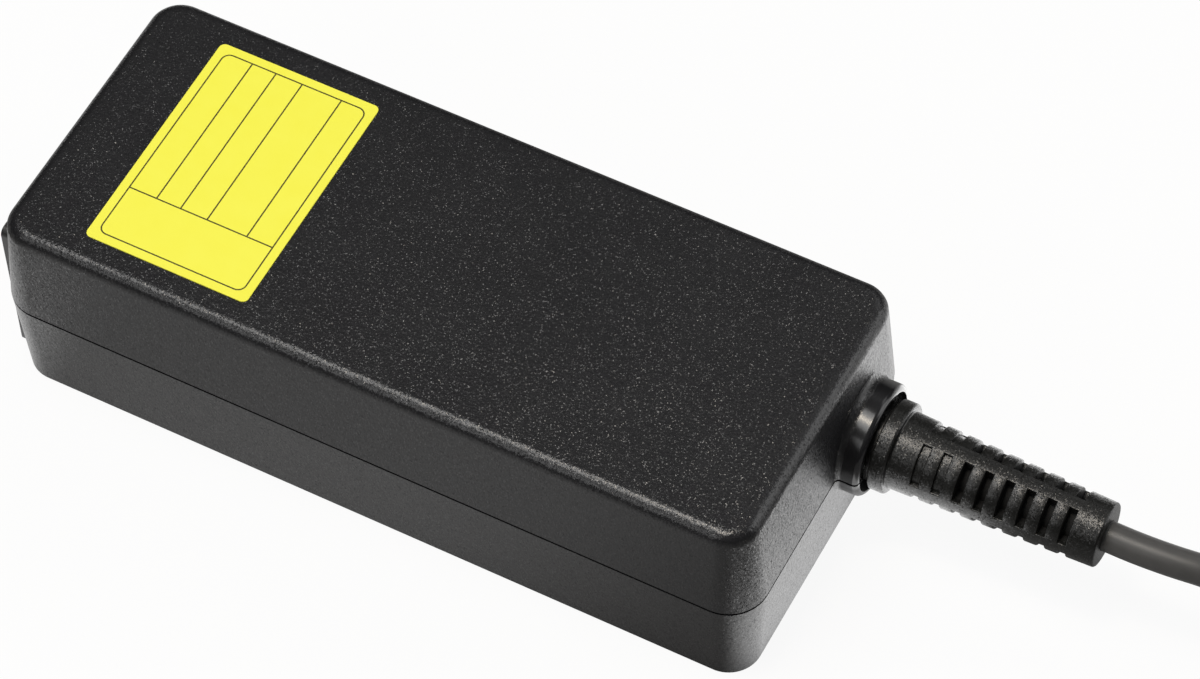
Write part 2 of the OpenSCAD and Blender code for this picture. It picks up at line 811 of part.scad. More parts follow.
module transformer_core() color("#3c3f44")
    at_transformer()
        difference() {
            box_at(
                [-trafo_core_l / 2, -trafo_w / 2, foot_h],
                [trafo_core_l / 2, trafo_w / 2, foot_h + trafo_h]
            );
            difference() {
                box_at(
                    [-trafo_core_l / 2 - over, -trafo_w / 2 + core_limb, window_z0],
                    [trafo_core_l / 2 + over, trafo_w / 2 - core_limb, window_z0 + window_h]
                );
                translate([0, 0, window_z0 - over]) cylinder(h = window_h + 2 * over, r = core_post_r);
            }
        }

module transformer_bobbin() color("#202124")
    at_transformer() {
        difference() {
            union() {
                for (z = [window_z0 + fit, window_z0 + window_h - 0.8 - fit])
                    box_at([-trafo_l / 2, -spool_half, z], [trafo_l / 2, spool_half, z + 0.8]);
                translate([0, 0, window_z0 + fit]) cylinder(h = window_h - 2 * fit, r = spool_r);
            }
            cylinder(h = body_h, r = core_post_r + fit);
        }
        for (x = [-1, 1])
            translate([x * (trafo_l / 2 + trafo_core_l / 2 + 0.2) / 2, 0, (window_z0 + 0.4) / 2])
                cube([(trafo_l - trafo_core_l) / 2 - 0.2, 2 * spool_half, window_z0 + 0.4], center = true);
    }

module transformer_windings() color("#d8c24a")
    at_transformer()
        translate([0, 0, window_z0 + 0.8 + 2 * fit])
            difference() {
                cylinder(h = window_h - 1.6 - 4 * fit, r = spool_half - 0.3);
                translate([0, 0, -over]) cylinder(h = window_h + 2 * over, r = spool_r + fit);
            }

module optocoupler() color("#e6e6e0")
    translate([row4 + trafo_l / 2, lane_half - 2.1, board_top])
        difference() {
            union() {
                box_at([-3.2, -1.8, 0.8], [3.2, 1.8, 3.6]);
                for (x = [-1.27, 1.27])
                    for (y = [-1, 1])
                        box_at([x - 0.3, y * 1.9 - 0.15, 0], [x + 0.3, y * 1.9 + 0.15, 2.2]);
            }
            translate([-2.4, 0, 3.2]) cylinder(h = 1, r = 0.5);
        }

module at_output() {
    translate([row5, lane_half - sink_w / 2, board_top])
        rotate([0, 0, 90]) translate([0, -sink_t, 0]) children();
}

module output_heatsink() color("#a9adb3")
    at_output() sink_plate(sink_w);

module output_rectifier() color("#1f2023")
    at_output() power_package();

module output_screw() color("#8e9298")
    at_output() package_screw();

module output_capacitors() color("#2b2d57")
    for (k = [0, 1])
        translate([row5 + row_l[4] / 2, -lane_half + outcap_d / 2 + k * (outcap_d + 0.5), board_top])
            can(outcap_d, outcap_h);

// A folded sheet over the board parts: a flat top with a leg down to the board on each side
module folded_sheet(half, top, t) {
    x0 = rows_start - 0.6;
    x1 = cord_tip - 0.6;
    box_at([x0, -half, top - t], [x1, half, top]);
    for (y = [-1, 1])
        translate([0, y * (half - t / 2), 0]) box_at([x0, -t / 2, board_top], [x1, t / 2, top]);
}

module insulation_liner() color("#d6cfa8")
    folded_sheet(liner_half, liner_top, liner_t);

module heat_spreader() color("#b8bcc2")
    folded_sheet(spreader_half, spreader_top, spreader_t);

module thermal_pad() color("#8fa7b8")
    translate([rows_start + (cord_tip - rows_start) / 2, 0, spreader_top])
        linear_extrude(height = pad_t) plate_outline(pad_l, pad_w, 1);

// One core of the lead, bent down from the cut end of the jacket to the board
module core_wire(side) {
    bend = [for (a = [0 : 15 : 90]) [-wire_bend * sin(a), 0, wire_bend * (cos(a) - 1)]];
    translate([cord_tip - core_show, exit_y + side * (wire_r + seat), exit_z])
        swept_tube(
            concat([[core_show, 0, 0]], bend, [[-wire_bend, 0, board_top - exit_z]]), 2 * wire_r, 8, [0, 1, 0]
        );
}

module positive_wire() color("#b3261e") core_wire(1);

module negative_wire() color("#1a1a1a") core_wire(-1);

module cord_end() color("#1e1f21")
    translate([0, exit_y, exit_z]) rod_x(cord_tip, relief_end, cord_r);

function tail_radius(x) = tail_r0 + (tail_r1 - tail_r0) * (x - neck_end) / tail_l;

module strain_relief() color("#1a1b1d")
    translate([0, exit_y, exit_z])
        difference() {
            rotate([0, 90, 0])
                rotate_extrude()
                    polygon([
                        [0, relief_seat - flange_t], [flange_r, relief_seat - flange_t],
                        [flange_r, relief_seat],
                        [neck_r, relief_seat], [neck_r, groove_from], [groove_r, groove_from],
                        [groove_r, groove_to], [neck_r - groove_edge, groove_to],
                        [neck_r, groove_to + groove_edge],
                        [neck_r, neck_end - edge_r], [neck_r - edge_r, neck_end],
                        [tail_r0, neck_end], [tail_r1, relief_end - edge_r], [tail_r1 - edge_r, relief_end],
                        [0, relief_end]
                    ]);
            rod_x(cord_tip, relief_end + over, cord_r + fit);
            for (i = [0 : slot_rows - 1])
                slot_ring(neck_end + slot_first + i * slot_pitch, i < slot_shallow);
        }

// Four slots round the tail at one place, between the solid ribs along it
module slot_ring(x, shallow) {
    floor_r = shallow ? tail_radius(x) - slot_skin : cord_r + fit + slot_web;
    for (q = [0 : 3])
        translate([x, 0, 0])
            rotate([0, 90, 0])
                rotate([0, 0, 90 * q + (90 - slot_angle) / 2])
                    rotate_extrude(angle = slot_angle)
                        translate([floor_r, 0]) square([tail_r0 + over - floor_r, slot_w]);
}

module cord_run() color("#1e1f21") swept_tube(run_points, cord_d, 8);

module cord_coil() color("#1e1f21") {
    echo(least_gap_of_coil = least_gap(coil_points));
    swept_tube(coil_points, cord_d, 6);
}

module cord_tail() color("#1e1f21") swept_tube(tail_points, cord_d, 8);

// Strap round the bundle of turns
module coil_strap() color("#2a2a2c") {
    bow = coil_in_r - cord_r - sqrt(pow(coil_in_r - cord_r, 2) - pow(strap_w / 2, 2));
    x0 = coil_in_r - cord_r - bow - fit;
    x1 = coil_out_r + cord_r + fit;
    translate([coil_x, coil_y, 0])
        rotate([0, 0, 175])
            translate([(x0 + x1) / 2, strap_w / 2, (coil_top + fit + strap_t) / 2])
                rotate([90, 0, 0])
                    linear_extrude(height = strap_w)
                        difference() {
                            plate_outline(x1 - x0 + 2 * strap_t, coil_top + fit + strap_t, 2);
                            plate_outline(x1 - x0, coil_top + fit - strap_t, 2 - strap_t);
                        }
}

// Places a plug piece along the plug, from the lead towards the tip
module at_plug() {
    translate(plug_at) rotate([90, 0, 0]) children();
}

module plug_grip() color("#1a1b1d")
    at_plug()
        difference() {
            rotate_extrude()
                polygon([
                    [0, 0], [2.7, 0], [3, 0.4], [3.5, grip_tail_l - 1], [grip_d / 2 - 0.6, grip_tail_l],
                    [grip_d / 2, grip_tail_l + 1], [grip_d / 2, grip_end - 1], [grip_d / 2 - 0.8, grip_end],
                    [0, grip_end]
                ]);
            translate([0, 0, grip_end - barrel_root]) cylinder(h = barrel_root + over, r = shoulder_r + fit);
            for (i = [0 : 3])
                translate([0, 0, 1.6 + i * 2])
                    rotate_extrude() translate([2.75, 0]) square([3, 0.9]);
            for (i = [0 : 5])
                for (x = [-1, 1])
                    translate([x * (grip_d / 2 + 0.6), 0, grip_tail_l + 3.5 + i * 2])
                        cube([2, 6, 1], center = true);
        }

module plug_barrel() color("#c4c7cc")
    at_plug()
        translate([0, 0, grip_end - barrel_root])
            difference() {
                union() {
                    cylinder(h = barrel_root + barrel_l, r = barrel_r);
                    cylinder(h = barrel_root, r = shoulder_r);
                }
                translate([0, 0, -over])
                    cylinder(h = barrel_root + barrel_l + 2 * over, r = barrel_r - barrel_wall);
            }

module plug_insulator() color("#1f1f22")
    at_plug()
        translate([0, 0, grip_end - barrel_root])
            difference() {
                cylinder(h = barrel_root + barrel_l, r = insulator_r);
                translate([0, 0, -over]) cylinder(h = barrel_root + barrel_l + 2 * over, r = contact_r + fit);
            }

module plug_contact() color("#c9a24a")
    at_plug()
        translate([0, 0, grip_end - barrel_root])
            difference() {
                cylinder(h = barrel_root + barrel_l - 0.3, r = contact_r);
                translate([0, 0, 2]) cylinder(h = barrel_root + barrel_l, r = bore_d / 2);
            }

bottom_shell();
top_shell();
top_label();
rating_label();
inlet_panel();
inlet_body();
inlet_pins();
circuit_board();
insulation_sheet();
fuse();
x_capacitor();
surge_varistor();
inrush_thermistor();
choke_base();
choke_core();
choke_windings();
bridge_rectifier();
y_capacitors();
bulk_capacitor();
primary_heatsink();
primary_transistor();
primary_screw();
controller_chip();
transformer_bobbin();
transformer_windings();
transformer_core();
optocoupler();
output_heatsink();
output_rectifier();
output_screw();
output_capacitors();
insulation_liner();
heat_spreader();
thermal_pad();
positive_wire();
negative_wire();
cord_end();
strain_relief();
cord_run();
cord_coil();
cord_tail();
coil_strap();
plug_grip();
plug_barrel();
plug_insulator();
plug_contact();
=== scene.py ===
import math

import bmesh
import bpy
from mathutils import Matrix, Vector


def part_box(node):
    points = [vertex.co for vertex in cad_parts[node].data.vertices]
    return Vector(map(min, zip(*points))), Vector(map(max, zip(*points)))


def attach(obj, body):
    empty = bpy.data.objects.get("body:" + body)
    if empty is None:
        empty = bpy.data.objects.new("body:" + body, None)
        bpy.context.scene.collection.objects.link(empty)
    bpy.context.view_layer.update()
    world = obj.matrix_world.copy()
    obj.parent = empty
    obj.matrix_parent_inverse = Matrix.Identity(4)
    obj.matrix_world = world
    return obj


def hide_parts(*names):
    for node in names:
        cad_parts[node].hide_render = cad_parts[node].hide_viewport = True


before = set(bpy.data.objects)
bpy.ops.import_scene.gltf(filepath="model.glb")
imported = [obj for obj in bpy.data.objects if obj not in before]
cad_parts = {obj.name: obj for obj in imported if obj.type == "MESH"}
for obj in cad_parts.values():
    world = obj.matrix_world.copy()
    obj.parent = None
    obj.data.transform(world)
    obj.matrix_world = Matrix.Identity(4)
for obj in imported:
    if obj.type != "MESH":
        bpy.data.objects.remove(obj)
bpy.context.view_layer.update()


# ---------------------------------------------------------------- Camera
# A long lens on a stand looks down over the near long side of the case, from the side of the lead.
# It leans over a little, so the case lies a touch lower on its right.
MM = 0.001
CASE_MIDDLE = Vector((0, 0, 14.94)) * MM
CAMERA_TURN = math.radians(29.594)
CAMERA_RISE = math.radians(55.109)
CAMERA_LEAN = math.radians(-2.165)
CAMERA_DISTANCE = 614.76 * MM
CAMERA_NEAREST = 10 * MM
AIM_RIGHT = 19.019 * MM
AIM_UP = -1.376 * MM
LENS_MM = 146.22
SENSOR_MM = 36

scene = bpy.context.scene
to_camera = Vector((
    math.sin(CAMERA_TURN) * math.cos(CAMERA_RISE),
    -math.cos(CAMERA_TURN) * math.cos(CAMERA_RISE),
    math.sin(CAMERA_RISE),
))
level_right = Vector((0, 0, 1)).cross(to_camera).normalized()
level_up = to_camera.cross(level_right)
lens_right = math.cos(CAMERA_LEAN) * level_right + math.sin(CAMERA_LEAN) * level_up
lens_up = to_camera.cross(lens_right)
aim = CASE_MIDDLE + AIM_RIGHT * lens_right + AIM_UP * lens_up

camera_data = bpy.data.cameras.new("camera")
camera_data.lens = LENS_MM
camera_data.sensor_width = SENSOR_MM
camera_data.sensor_fit = "HORIZONTAL"
camera_data.clip_start = CAMERA_NEAREST
camera = bpy.data.objects.new("camera", camera_data)
camera.matrix_world = Matrix.Translation(aim + CAMERA_DISTANCE * to_camera) @ Matrix((
    lens_right, lens_up, to_camera,
)).transposed().to_4x4()
scene.collection.objects.link(camera)
scene.camera = camera


# ---------------------------------------------------------------- Low-voltage lead
# A round two-core lead in black flexible PVC, 4 mm thick and 1.8 m long, extruded with a satin
# skin. It leaves the strain relief, drops to the table and is wound into a neat coil that ends at
# the plug.
LEAD_D = 4 * MM
LEAD_SHADES = ("#444443", "#504F4E")
LEAD_GLOSS = (0.38, 0.52)
HAZE_SIZE = 1.5 * MM
SKIN_SIZE = 0.3 * MM
SKIN_DEPTH = 0.012 * MM
EXIT_Y = 9.25 * MM
EXIT_Z = 15.2 * MM
LAYER_TURNS = 3
COIL_LAYERS = 4
CLIMB_TURNS = 0.5
COIL_STEPS = 24
COIL_PITCH = 4.45 * MM
COIL_MIDDLE_R = 22.5 * MM
COIL_START = math.radians(120)
COIL_AHEAD = 60.4 * MM
STRAP_T = 0.6 * MM
PLUG_FROM_COIL = Vector((14.4, 8.6, 20.0)) * MM
# The free ends of the route in millimetres: x from the exit down to the table, and x from the
# coil's middle up to the plug.
TO_FLOOR_MM = (
    (8.5, 9.5, 15.2), (13, 10.2, 14.8), (17.5, 11.2, 13.4), (22, 12.6, 11.2), (26.5, 14.4, 8.5),
    (31, 16.8, 6), (35, 19, 4), (39, 21.3, 2.8),
)
TO_PLUG_MM = (
    (-7, 29, 16.7), (-2.6, 29.6, 17.6), (1.8, 29, 18.6), (5.9, 27.3, 19.6), (9.4, 24.6, 20.5),
    (12.1, 21, 21.4), (13.8, 17, 22.2),
)

relief_low, relief_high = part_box("strain_relief")
lead_exit = Vector((relief_high.x, EXIT_Y, EXIT_Z))
coil_middle = Vector((lead_exit.x + COIL_AHEAD, 0, STRAP_T + LEAD_D / 2))
plug_start = coil_middle + PLUG_FROM_COIL


def linear(hex_colour):
    """An sRGB hex colour as the linear values that a shader takes."""
    channels = [int(hex_colour[i:i + 2], 16) / 255 for i in (1, 3, 5)]
    return [c / 12.92 if c <= 0.04045 else ((c + 0.055) / 1.055) ** 2.4 for c in channels] + [1.0]


def add_node(tree, kind, sockets=None, **settings):
    """Adds a node: settings are its properties, sockets its input values and links.

    A Mix node's sockets go by number: 0 is the share, 2 and 3 are numbers, 6 and 7 colours. Its
    result is output 0 for numbers and 2 for colours.
    """
    new = tree.nodes.new("ShaderNode" + kind)
    for name, value in settings.items():
        setattr(new, name, value)
    for name, value in (sockets or {}).items():
        if isinstance(value, bpy.types.NodeSocket):
            tree.links.new(value, new.inputs[name])
        else:
            new.inputs[name].default_value = value
    return new


def start_material(name, **constants):
    """Makes a material with constants on its shader.

    Returns the material, its node tree, its shader and the Object coordinates.
    """
    material = bpy.data.materials.new(name)
    material.use_nodes = True
    tree = material.node_tree
    shader = tree.nodes["Principled BSDF"]
    for socket, value in constants.items():
        shader.inputs[socket.replace("_", " ")].default_value = value
    return material, tree, shader, add_node(tree, "TexCoord").outputs["Object"]


def coil_point(turn):
    """Centre of the lead after so many turns.

    One layer spirals inward and the next outward, and the lead climbs a layer where it reverses.
    """
    step = turn % (2 * LAYER_TURNS)
    inward = step if step <= LAYER_TURNS else 2 * LAYER_TURNS - step
    radius = COIL_MIDDLE_R + (LAYER_TURNS / 2 - inward) * COIL_PITCH
    climb = 0
    for layer in range(1, COIL_LAYERS):
        share = min(1, max(0, (turn - layer * LAYER_TURNS) / CLIMB_TURNS + 0.5))
        climb += share * share * (3 - 2 * share)
    angle = COIL_START - 2 * math.pi * turn
    return coil_middle + Vector((
        radius * math.cos(angle), radius * math.sin(angle), climb * COIL_PITCH,
    ))


coil_way = Vector((math.sin(COIL_START), -math.cos(COIL_START), 0))
turns = LAYER_TURNS * COIL_LAYERS
route = [lead_exit, lead_exit + Vector((LEAD_D, 0, 0))]
route += [Vector((lead_exit.x + x * MM, y * MM, z * MM)) for x, y, z in TO_FLOOR_MM]
route.append(coil_point(0) - LEAD_D * coil_way)
route += [coil_point(i / COIL_STEPS) for i in range(turns * COIL_STEPS + 1)]
route.append(coil_point(turns) + LEAD_D * coil_way)
route += [Vector((coil_middle.x + x * MM, y * MM, z * MM)) for x, y, z in TO_PLUG_MM]
route += [plug_start + Vector((0, LEAD_D, 0)), plug_start]

lead_curve = bpy.data.curves.new("lead", "CURVE")
lead_curve.dimensions = "3D"
lead_curve.bevel_depth = LEAD_D / 2
lead_curve.bevel_resolution = 5
lead_curve.resolution_u = 4
lead_curve.use_fill_caps = True
lead_line = lead_curve.splines.new("BEZIER")
lead_line.bezier_points.add(len(route) - 1)
for knot, place in zip(lead_line.bezier_points, route):
    knot.co = place
    knot.handle_left_type = knot.handle_right_type = "AUTO"
lead = bpy.data.objects.new("lead", lead_curve)
scene.collection.objects.link(lead)

# Extruded soft PVC: near black and satin, with a finely uneven skin and a haze that breaks up the
# gloss.
lead_pvc, tree, shader, place = start_material("extruded_pvc", IOR=1.52)
haze = add_node(tree, "TexNoise", {"Vector": place, "Scale": 1 / HAZE_SIZE, "Detail": 3})
skin = add_node(tree, "TexNoise", {"Vector": place, "Scale": 1 / SKIN_SIZE, "Detail": 2})
shade = add_node(
    tree, "Mix",
    {0: haze.outputs["Fac"], 6: linear(LEAD_SHADES[0]), 7: linear(LEAD_SHADES[1])},
    data_type="RGBA",
)
tree.links.new(shade.outputs[2], shader.inputs["Base Color"])
gloss = add_node(
    tree, "MapRange",
    {"Value": haze.outputs["Fac"], "To Min": LEAD_GLOSS[0], "To Max": LEAD_GLOSS[1]},
)
tree.links.new(gloss.outputs["Result"], shader.inputs["Roughness"])
bump = add_node(
    tree, "Bump", {"Height": skin.outputs["Fac"], "Distance": SKIN_DEPTH, "Strength": 0.6}
)
tree.links.new(bump.outputs["Normal"], shader.inputs["Normal"])
lead_curve.materials.append(lead_pvc)

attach(lead, "root")
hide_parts("cord_run", "cord_coil", "cord_tail")


# ---------------------------------------------------------------- Case shells
# Two black ABS/PC mouldings, welded along a line round the sides, which share the collar for the
# lead. The mould was spark eroded, so the outside has an even fine grain; the collar is smoother.
CASE_SHADES = ("#18181A", "#1D1D1F")
CASE_GLOSS = (0.24, 0.3)
CASE_CLOUD = 9 * MM
CASE_GRAIN = 0.125 * MM
CASE_TILT = 0.5
CASE_RIPPLE = 0.05 * MM
# The craters are drawn twice as tall as wide, and a face counts as wall by how little it looks up.
CRATER_UPRIGHT = (1, 1, 0.5)
WALL_LEVEL = (0.2, 0.8)
WALL_GRAIN = 0.9
WALL_GLOSS = 0.38
WALL_X = 53.5 * MM
COLLAR_START = 53.7 * MM
COLLAR_BLEND = 0.5 * MM
COLLAR_R = 7.5 * MM
COLLAR_Y = EXIT_Y
COLLAR_GRAIN = 0.04
COLLAR_GLOSS = 0.2
UNDER_COLLAR_GLOSS = 0.55
PARTING_Z = EXIT_Z
SEAM_GAP = 0.4 * MM
UNDER_BLEND = 1.5 * MM
TOP_LEAN = 1.2 / 14.7
BOTTOM_LEAN = 0.9 / 15.2
# The round at the collar's root sinks a little into both, and its bevel stops just short of the
# whole corner.
ROOT_R = 0.6 * MM
ROOT_SINK = 0.1 * MM
ROOT_SHARE = 0.98
ROOT_SEGMENTS = 6
ROOT_STEPS = 96
SMOOTH_BELOW = math.radians(35)
WELD = 0.001 * MM


def finish_piece(mesh, name, material, *nodes, slot=None):
    """Smooth shading with crisp edges; links the piece into the scene under the root and hides any
    CAD nodes it stands for.
    """
    for layer in [a for a in mesh.attributes if a.name == "custom_normal"]:
        mesh.attributes.remove(layer)
    mesh.shade_smooth()
    mesh.set_sharp_from_angle(angle=SMOOTH_BELOW)
    mesh.materials.clear()
    mesh.materials.append(material)
    piece = bpy.data.objects.new(name, mesh)
    scene.collection.objects.link(piece)
    weighted = piece.modifiers.new("flat_faces", "WEIGHTED_NORMAL")
    weighted.keep_sharp = True
    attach(piece, "root")
    if nodes:
        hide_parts(*nodes)


def welded_copy(node, name, material):
    """A copy of a CAD node with its triangles joined, so that its round faces shade smoothly."""
    mesh = bpy.data.meshes.new(name)
    shape = bmesh.new()
    shape.from_mesh(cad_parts[node].data)
    bmesh.ops.remove_doubles(shape, verts=shape.verts, dist=WELD)
    bmesh.ops.dissolve_degenerate(shape, edges=shape.edges, dist=WELD)
    shape.to_mesh(mesh)
    shape.free()
    finish_piece(mesh, name, material, node)


def spark_grain(tree, place, size, tilt, depth, height):
    """Normals of a spark-eroded mould: craters whose facets tilt at random, over a soft ripple.

    Each facet's random lean, from -1/2 to 1/2, goes by its fifth power, so most facets lie nearly
    level and a few catch the light. The steepest still lean by half of tilt.
    """
    facets = add_node(tree, "TexVoronoi", {"Vector": place, "Scale": 1 / size})
    lean = add_node(
        tree, "VectorMath", {0: facets.outputs["Color"], 1: (0.5, 0.5, 0.5)}, operation="SUBTRACT"
    ).outputs["Vector"]
    power = lean
    for _ in range(2):
        power = add_node(
            tree, "VectorMath", {0: power, 1: power}, operation="MULTIPLY"
        ).outputs["Vector"]
    power = add_node(tree, "VectorMath", {0: lean, 1: power}, operation="MULTIPLY")
    amount = add_node(tree, "Math", {0: depth, 1: tilt / 0.5 ** 4}, operation="MULTIPLY")
    tilted = add_node(
        tree, "VectorMath", {0: power.outputs["Vector"], "Scale": amount.outputs["Value"]},
        operation="SCALE",
    )
    normal = add_node(tree, "NewGeometry").outputs["Normal"]
    normal = add_node(tree, "VectorMath", {0: normal, 1: tilted.outputs["Vector"]}, operation="ADD")
    normal = add_node(tree, "VectorMath", {0: normal.outputs["Vector"]}, operation="NORMALIZE")
    ripple = add_node(tree, "TexNoise", {"Vector": place, "Scale": 1 / (3 * size), "Detail": 2})
    return add_node(tree, "Bump", {
        "Height": ripple.outputs["Fac"], "Distance": height, "Strength": depth,
        "Normal": normal.outputs["Vector"],
    }).outputs["Normal"]


# Spark-textured ABS/PC: black, with a dull grain whose facets catch the light as fine sparkles.
# The walls are duller than the top, and the collar is nearly plain and glossy, but matt underneath.
# The real craters are some 0.05 mm across. They are too fine to show, so each is drawn 0.125 mm
# wide.
case_abs, tree, shader, place = start_material("spark_textured_abs", IOR=1.52)
upright = add_node(tree, "Mapping", {"Vector": place, "Scale": CRATER_UPRIGHT})
cloud = add_node(tree, "TexNoise", {"Vector": place, "Scale": 1 / CASE_CLOUD, "Detail": 2})
apart = add_node(tree, "SeparateXYZ", {"Vector": place})
polish = add_node(
    tree, "MapRange",
    {
        "Value": apart.outputs["X"],
        "From Min": COLLAR_START, "From Max": COLLAR_START + COLLAR_BLEND,
    },
    interpolation_type="SMOOTHSTEP",
)
facing = add_node(tree, "SeparateXYZ", {"Vector": add_node(tree, "NewGeometry").outputs["Normal"]})
facing = add_node(tree, "Math", {0: facing.outputs["Z"]}, operation="ABSOLUTE")
wall = add_node(tree, "MapRange", {
    "Value": facing.outputs["Value"], "From Min": WALL_LEVEL[0], "From Max": WALL_LEVEL[1],
    "To Min": 1.0, "To Max": 0.0,
})
wall_depth = add_node(
    tree, "MapRange", {"Value": wall.outputs["Result"], "To Min": 1.0, "To Max": WALL_GRAIN}
)
collar_depth = add_node(
    tree, "MapRange", {"Value": polish.outputs["Result"], "To Min": 1.0, "To Max": COLLAR_GRAIN}
)
depth = add_node(
    tree, "Math", {0: collar_depth.outputs["Result"], 1: wall_depth.outputs["Result"]},
    operation="MULTIPLY",
).outputs["Value"]
tree.links.new(
    spark_grain(tree, upright.outputs["Vector"], CASE_GRAIN, CASE_TILT, depth, CASE_RIPPLE),
    shader.inputs["Normal"],
)
shade = add_node(
    tree, "Mix",
    {0: cloud.outputs["Fac"], 6: linear(CASE_SHADES[0]), 7: linear(CASE_SHADES[1])},
    data_type="RGBA",
)
tree.links.new(shade.outputs[2], shader.inputs["Base Color"])
gloss = add_node(
    tree, "MapRange",
    {"Value": cloud.outputs["Fac"], "To Min": CASE_GLOSS[0], "To Max": CASE_GLOSS[1]},
)
gloss = add_node(
    tree, "Mix", {0: wall.outputs["Result"], 2: gloss.outputs["Result"], 3: WALL_GLOSS},
    data_type="FLOAT",
)
collar_gloss = add_node(tree, "MapRange", {
    "Value": apart.outputs["Z"],
    "From Min": PARTING_Z - UNDER_BLEND, "From Max": PARTING_Z - SEAM_GAP,
    "To Min": UNDER_COLLAR_GLOSS, "To Max": COLLAR_GLOSS,
})
gloss = add_node(
    tree, "Mix",
    {0: polish.outputs["Result"], 2: gloss.outputs[0], 3: collar_gloss.outputs["Result"]},
    data_type="FLOAT",
)
tree.links.new(gloss.outputs[0], shader.inputs["Roughness"])

welded_copy("top_shell", "top_shell_moulding", case_abs)
welded_copy("bottom_shell", "bottom_shell_moulding", case_abs)


def collar_root(name, side, start_z, lean):
    """The concave round between the collar and a shell's end wall, which leans with the draft."""
    root = bmesh.new()
    out = COLLAR_R + PARTING_Z
    corner = root.verts.new((WALL_X, COLLAR_Y, out))
    loop = [corner] + [
        root.verts.new((WALL_X + x, COLLAR_Y, out + z))
        for x, z in (
            (ROOT_R, 0), (ROOT_R, -ROOT_SINK), (-ROOT_SINK, -ROOT_SINK), (-ROOT_SINK, ROOT_R),
            (0, ROOT_R),
        )
    ]
    for i in range(len(loop)):
        root.edges.new((loop[i - 1], loop[i]))
    bmesh.ops.bevel(
        root, geom=[corner], offset=ROOT_SHARE * ROOT_R, segments=ROOT_SEGMENTS,
        affect="VERTICES", profile=0.5, material=-1, offset_type="OFFSET",
    )
    bmesh.ops.spin(
        root, geom=root.verts[:] + root.edges[:], cent=(0, COLLAR_Y, PARTING_Z), axis=(1, 0, 0),
        angle=2 * math.pi, steps=ROOT_STEPS, use_merge=True, use_duplicate=False,
    )
    bmesh.ops.remove_doubles(root, verts=root.verts, dist=WELD)
    bmesh.ops.bisect_plane(
        root, geom=root.verts[:] + root.edges[:] + root.faces[:],
        plane_co=(0, 0, start_z), plane_no=(0, 0, side), clear_inner=True,
    )
    bmesh.ops.holes_fill(root, edges=[e for e in root.edges if e.is_boundary])
    bmesh.ops.recalc_face_normals(root, faces=root.faces)
    draft = Matrix.Identity(4)
    draft[0][2] = -side * lean
    at_parting = Matrix.Translation((0, 0, -PARTING_Z))
    bmesh.ops.transform(root, matrix=draft, space=at_parting, verts=root.verts)
    mesh = bpy.data.meshes.new(name)
    root.to_mesh(mesh)
    root.free()
    finish_piece(mesh, name, case_abs, slot="case_plastic")


collar_root("upper_collar_root", 1, PARTING_Z, TOP_LEAN)
collar_root("lower_collar_root", -1, PARTING_Z - SEAM_GAP, BOTTOM_LEAN)


# ---------------------------------------------------------------- Yellow top label
# A printed self-adhesive film with round corners, pressed flat on the top of the case.
# It bears a thin ruled frame and the rules of its rows, with nothing written in them.
LABEL_SHADES = ("#FAF648", "#FCFA56")
LABEL_GLOSS = (0.42, 0.55)
MOTTLE_SIZE = 3 * MM
INK_SHADES = ("#3E3A0B", "#524E13")
INK_COVER = 0.6 * MM
LABEL_R = 0.8 * MM
CORNER_SEGMENTS = 6
FRAME_IN = 1.15 * MM
FRAME_R = 1.2 * MM
LINE_W = 0.2 * MM
CROSS_RULE_UP = 7.6 * MM
ROW_RULES = [3.95 * MM, 7.43 * MM, 11.26 * MM, 16.98 * MM]

label_low, label_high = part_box("top_label")


def outline(shape, low, high, z, radius):
    """Edges of a flat rectangle with round corners."""
    corners = [(low.x, low.y), (high.x, low.y), (high.x, high.y), (low.x, high.y)]
    verts = [shape.verts.new((x, y, z)) for x, y in corners]
    edges = [shape.edges.new((verts[i], verts[(i + 1) % 4])) for i in range(4)]
    before = set(shape.edges) - set(edges)
    bmesh.ops.bevel(
        shape, geom=verts, offset=radius, segments=CORNER_SEGMENTS, affect="VERTICES",
        profile=0.5, material=-1, offset_type="OFFSET",
    )
    return [e for e in shape.edges if e not in before]


label_shape = bmesh.new()
z = label_high.z
inner_low = label_low + Vector((FRAME_IN, FRAME_IN, 0))
inner_high = label_high - Vector((FRAME_IN, FRAME_IN, 0))
rim = outline(label_shape, label_low, label_high, z, LABEL_R)
line_out = outline(label_shape, inner_low, inner_high, z, FRAME_R)
bmesh.ops.bridge_loops(label_shape, edges=rim + line_out)
field = bmesh.ops.contextual_create(label_shape, geom=line_out)["faces"]
printed = bmesh.ops.inset_region(
    label_shape, faces=field, thickness=LINE_W, use_even_offset=True
)["faces"]


def rule(shape, faces, start, side):
    """Cuts a printed line's width into flat faces and returns all the faces."""
    for edge_of_line in (0, LINE_W):
        edges_and_corners = dict.fromkeys(g for f in faces for g in f.edges[:] + f.verts[:])
        cut = bmesh.ops.bisect_plane(
            shape, geom=list(edges_and_corners) + faces,
            plane_co=start + side * edge_of_line, plane_no=side,
        )
        faces = [g for g in dict.fromkeys(cut["geom"]) if isinstance(g, bmesh.types.BMFace)]
    return faces


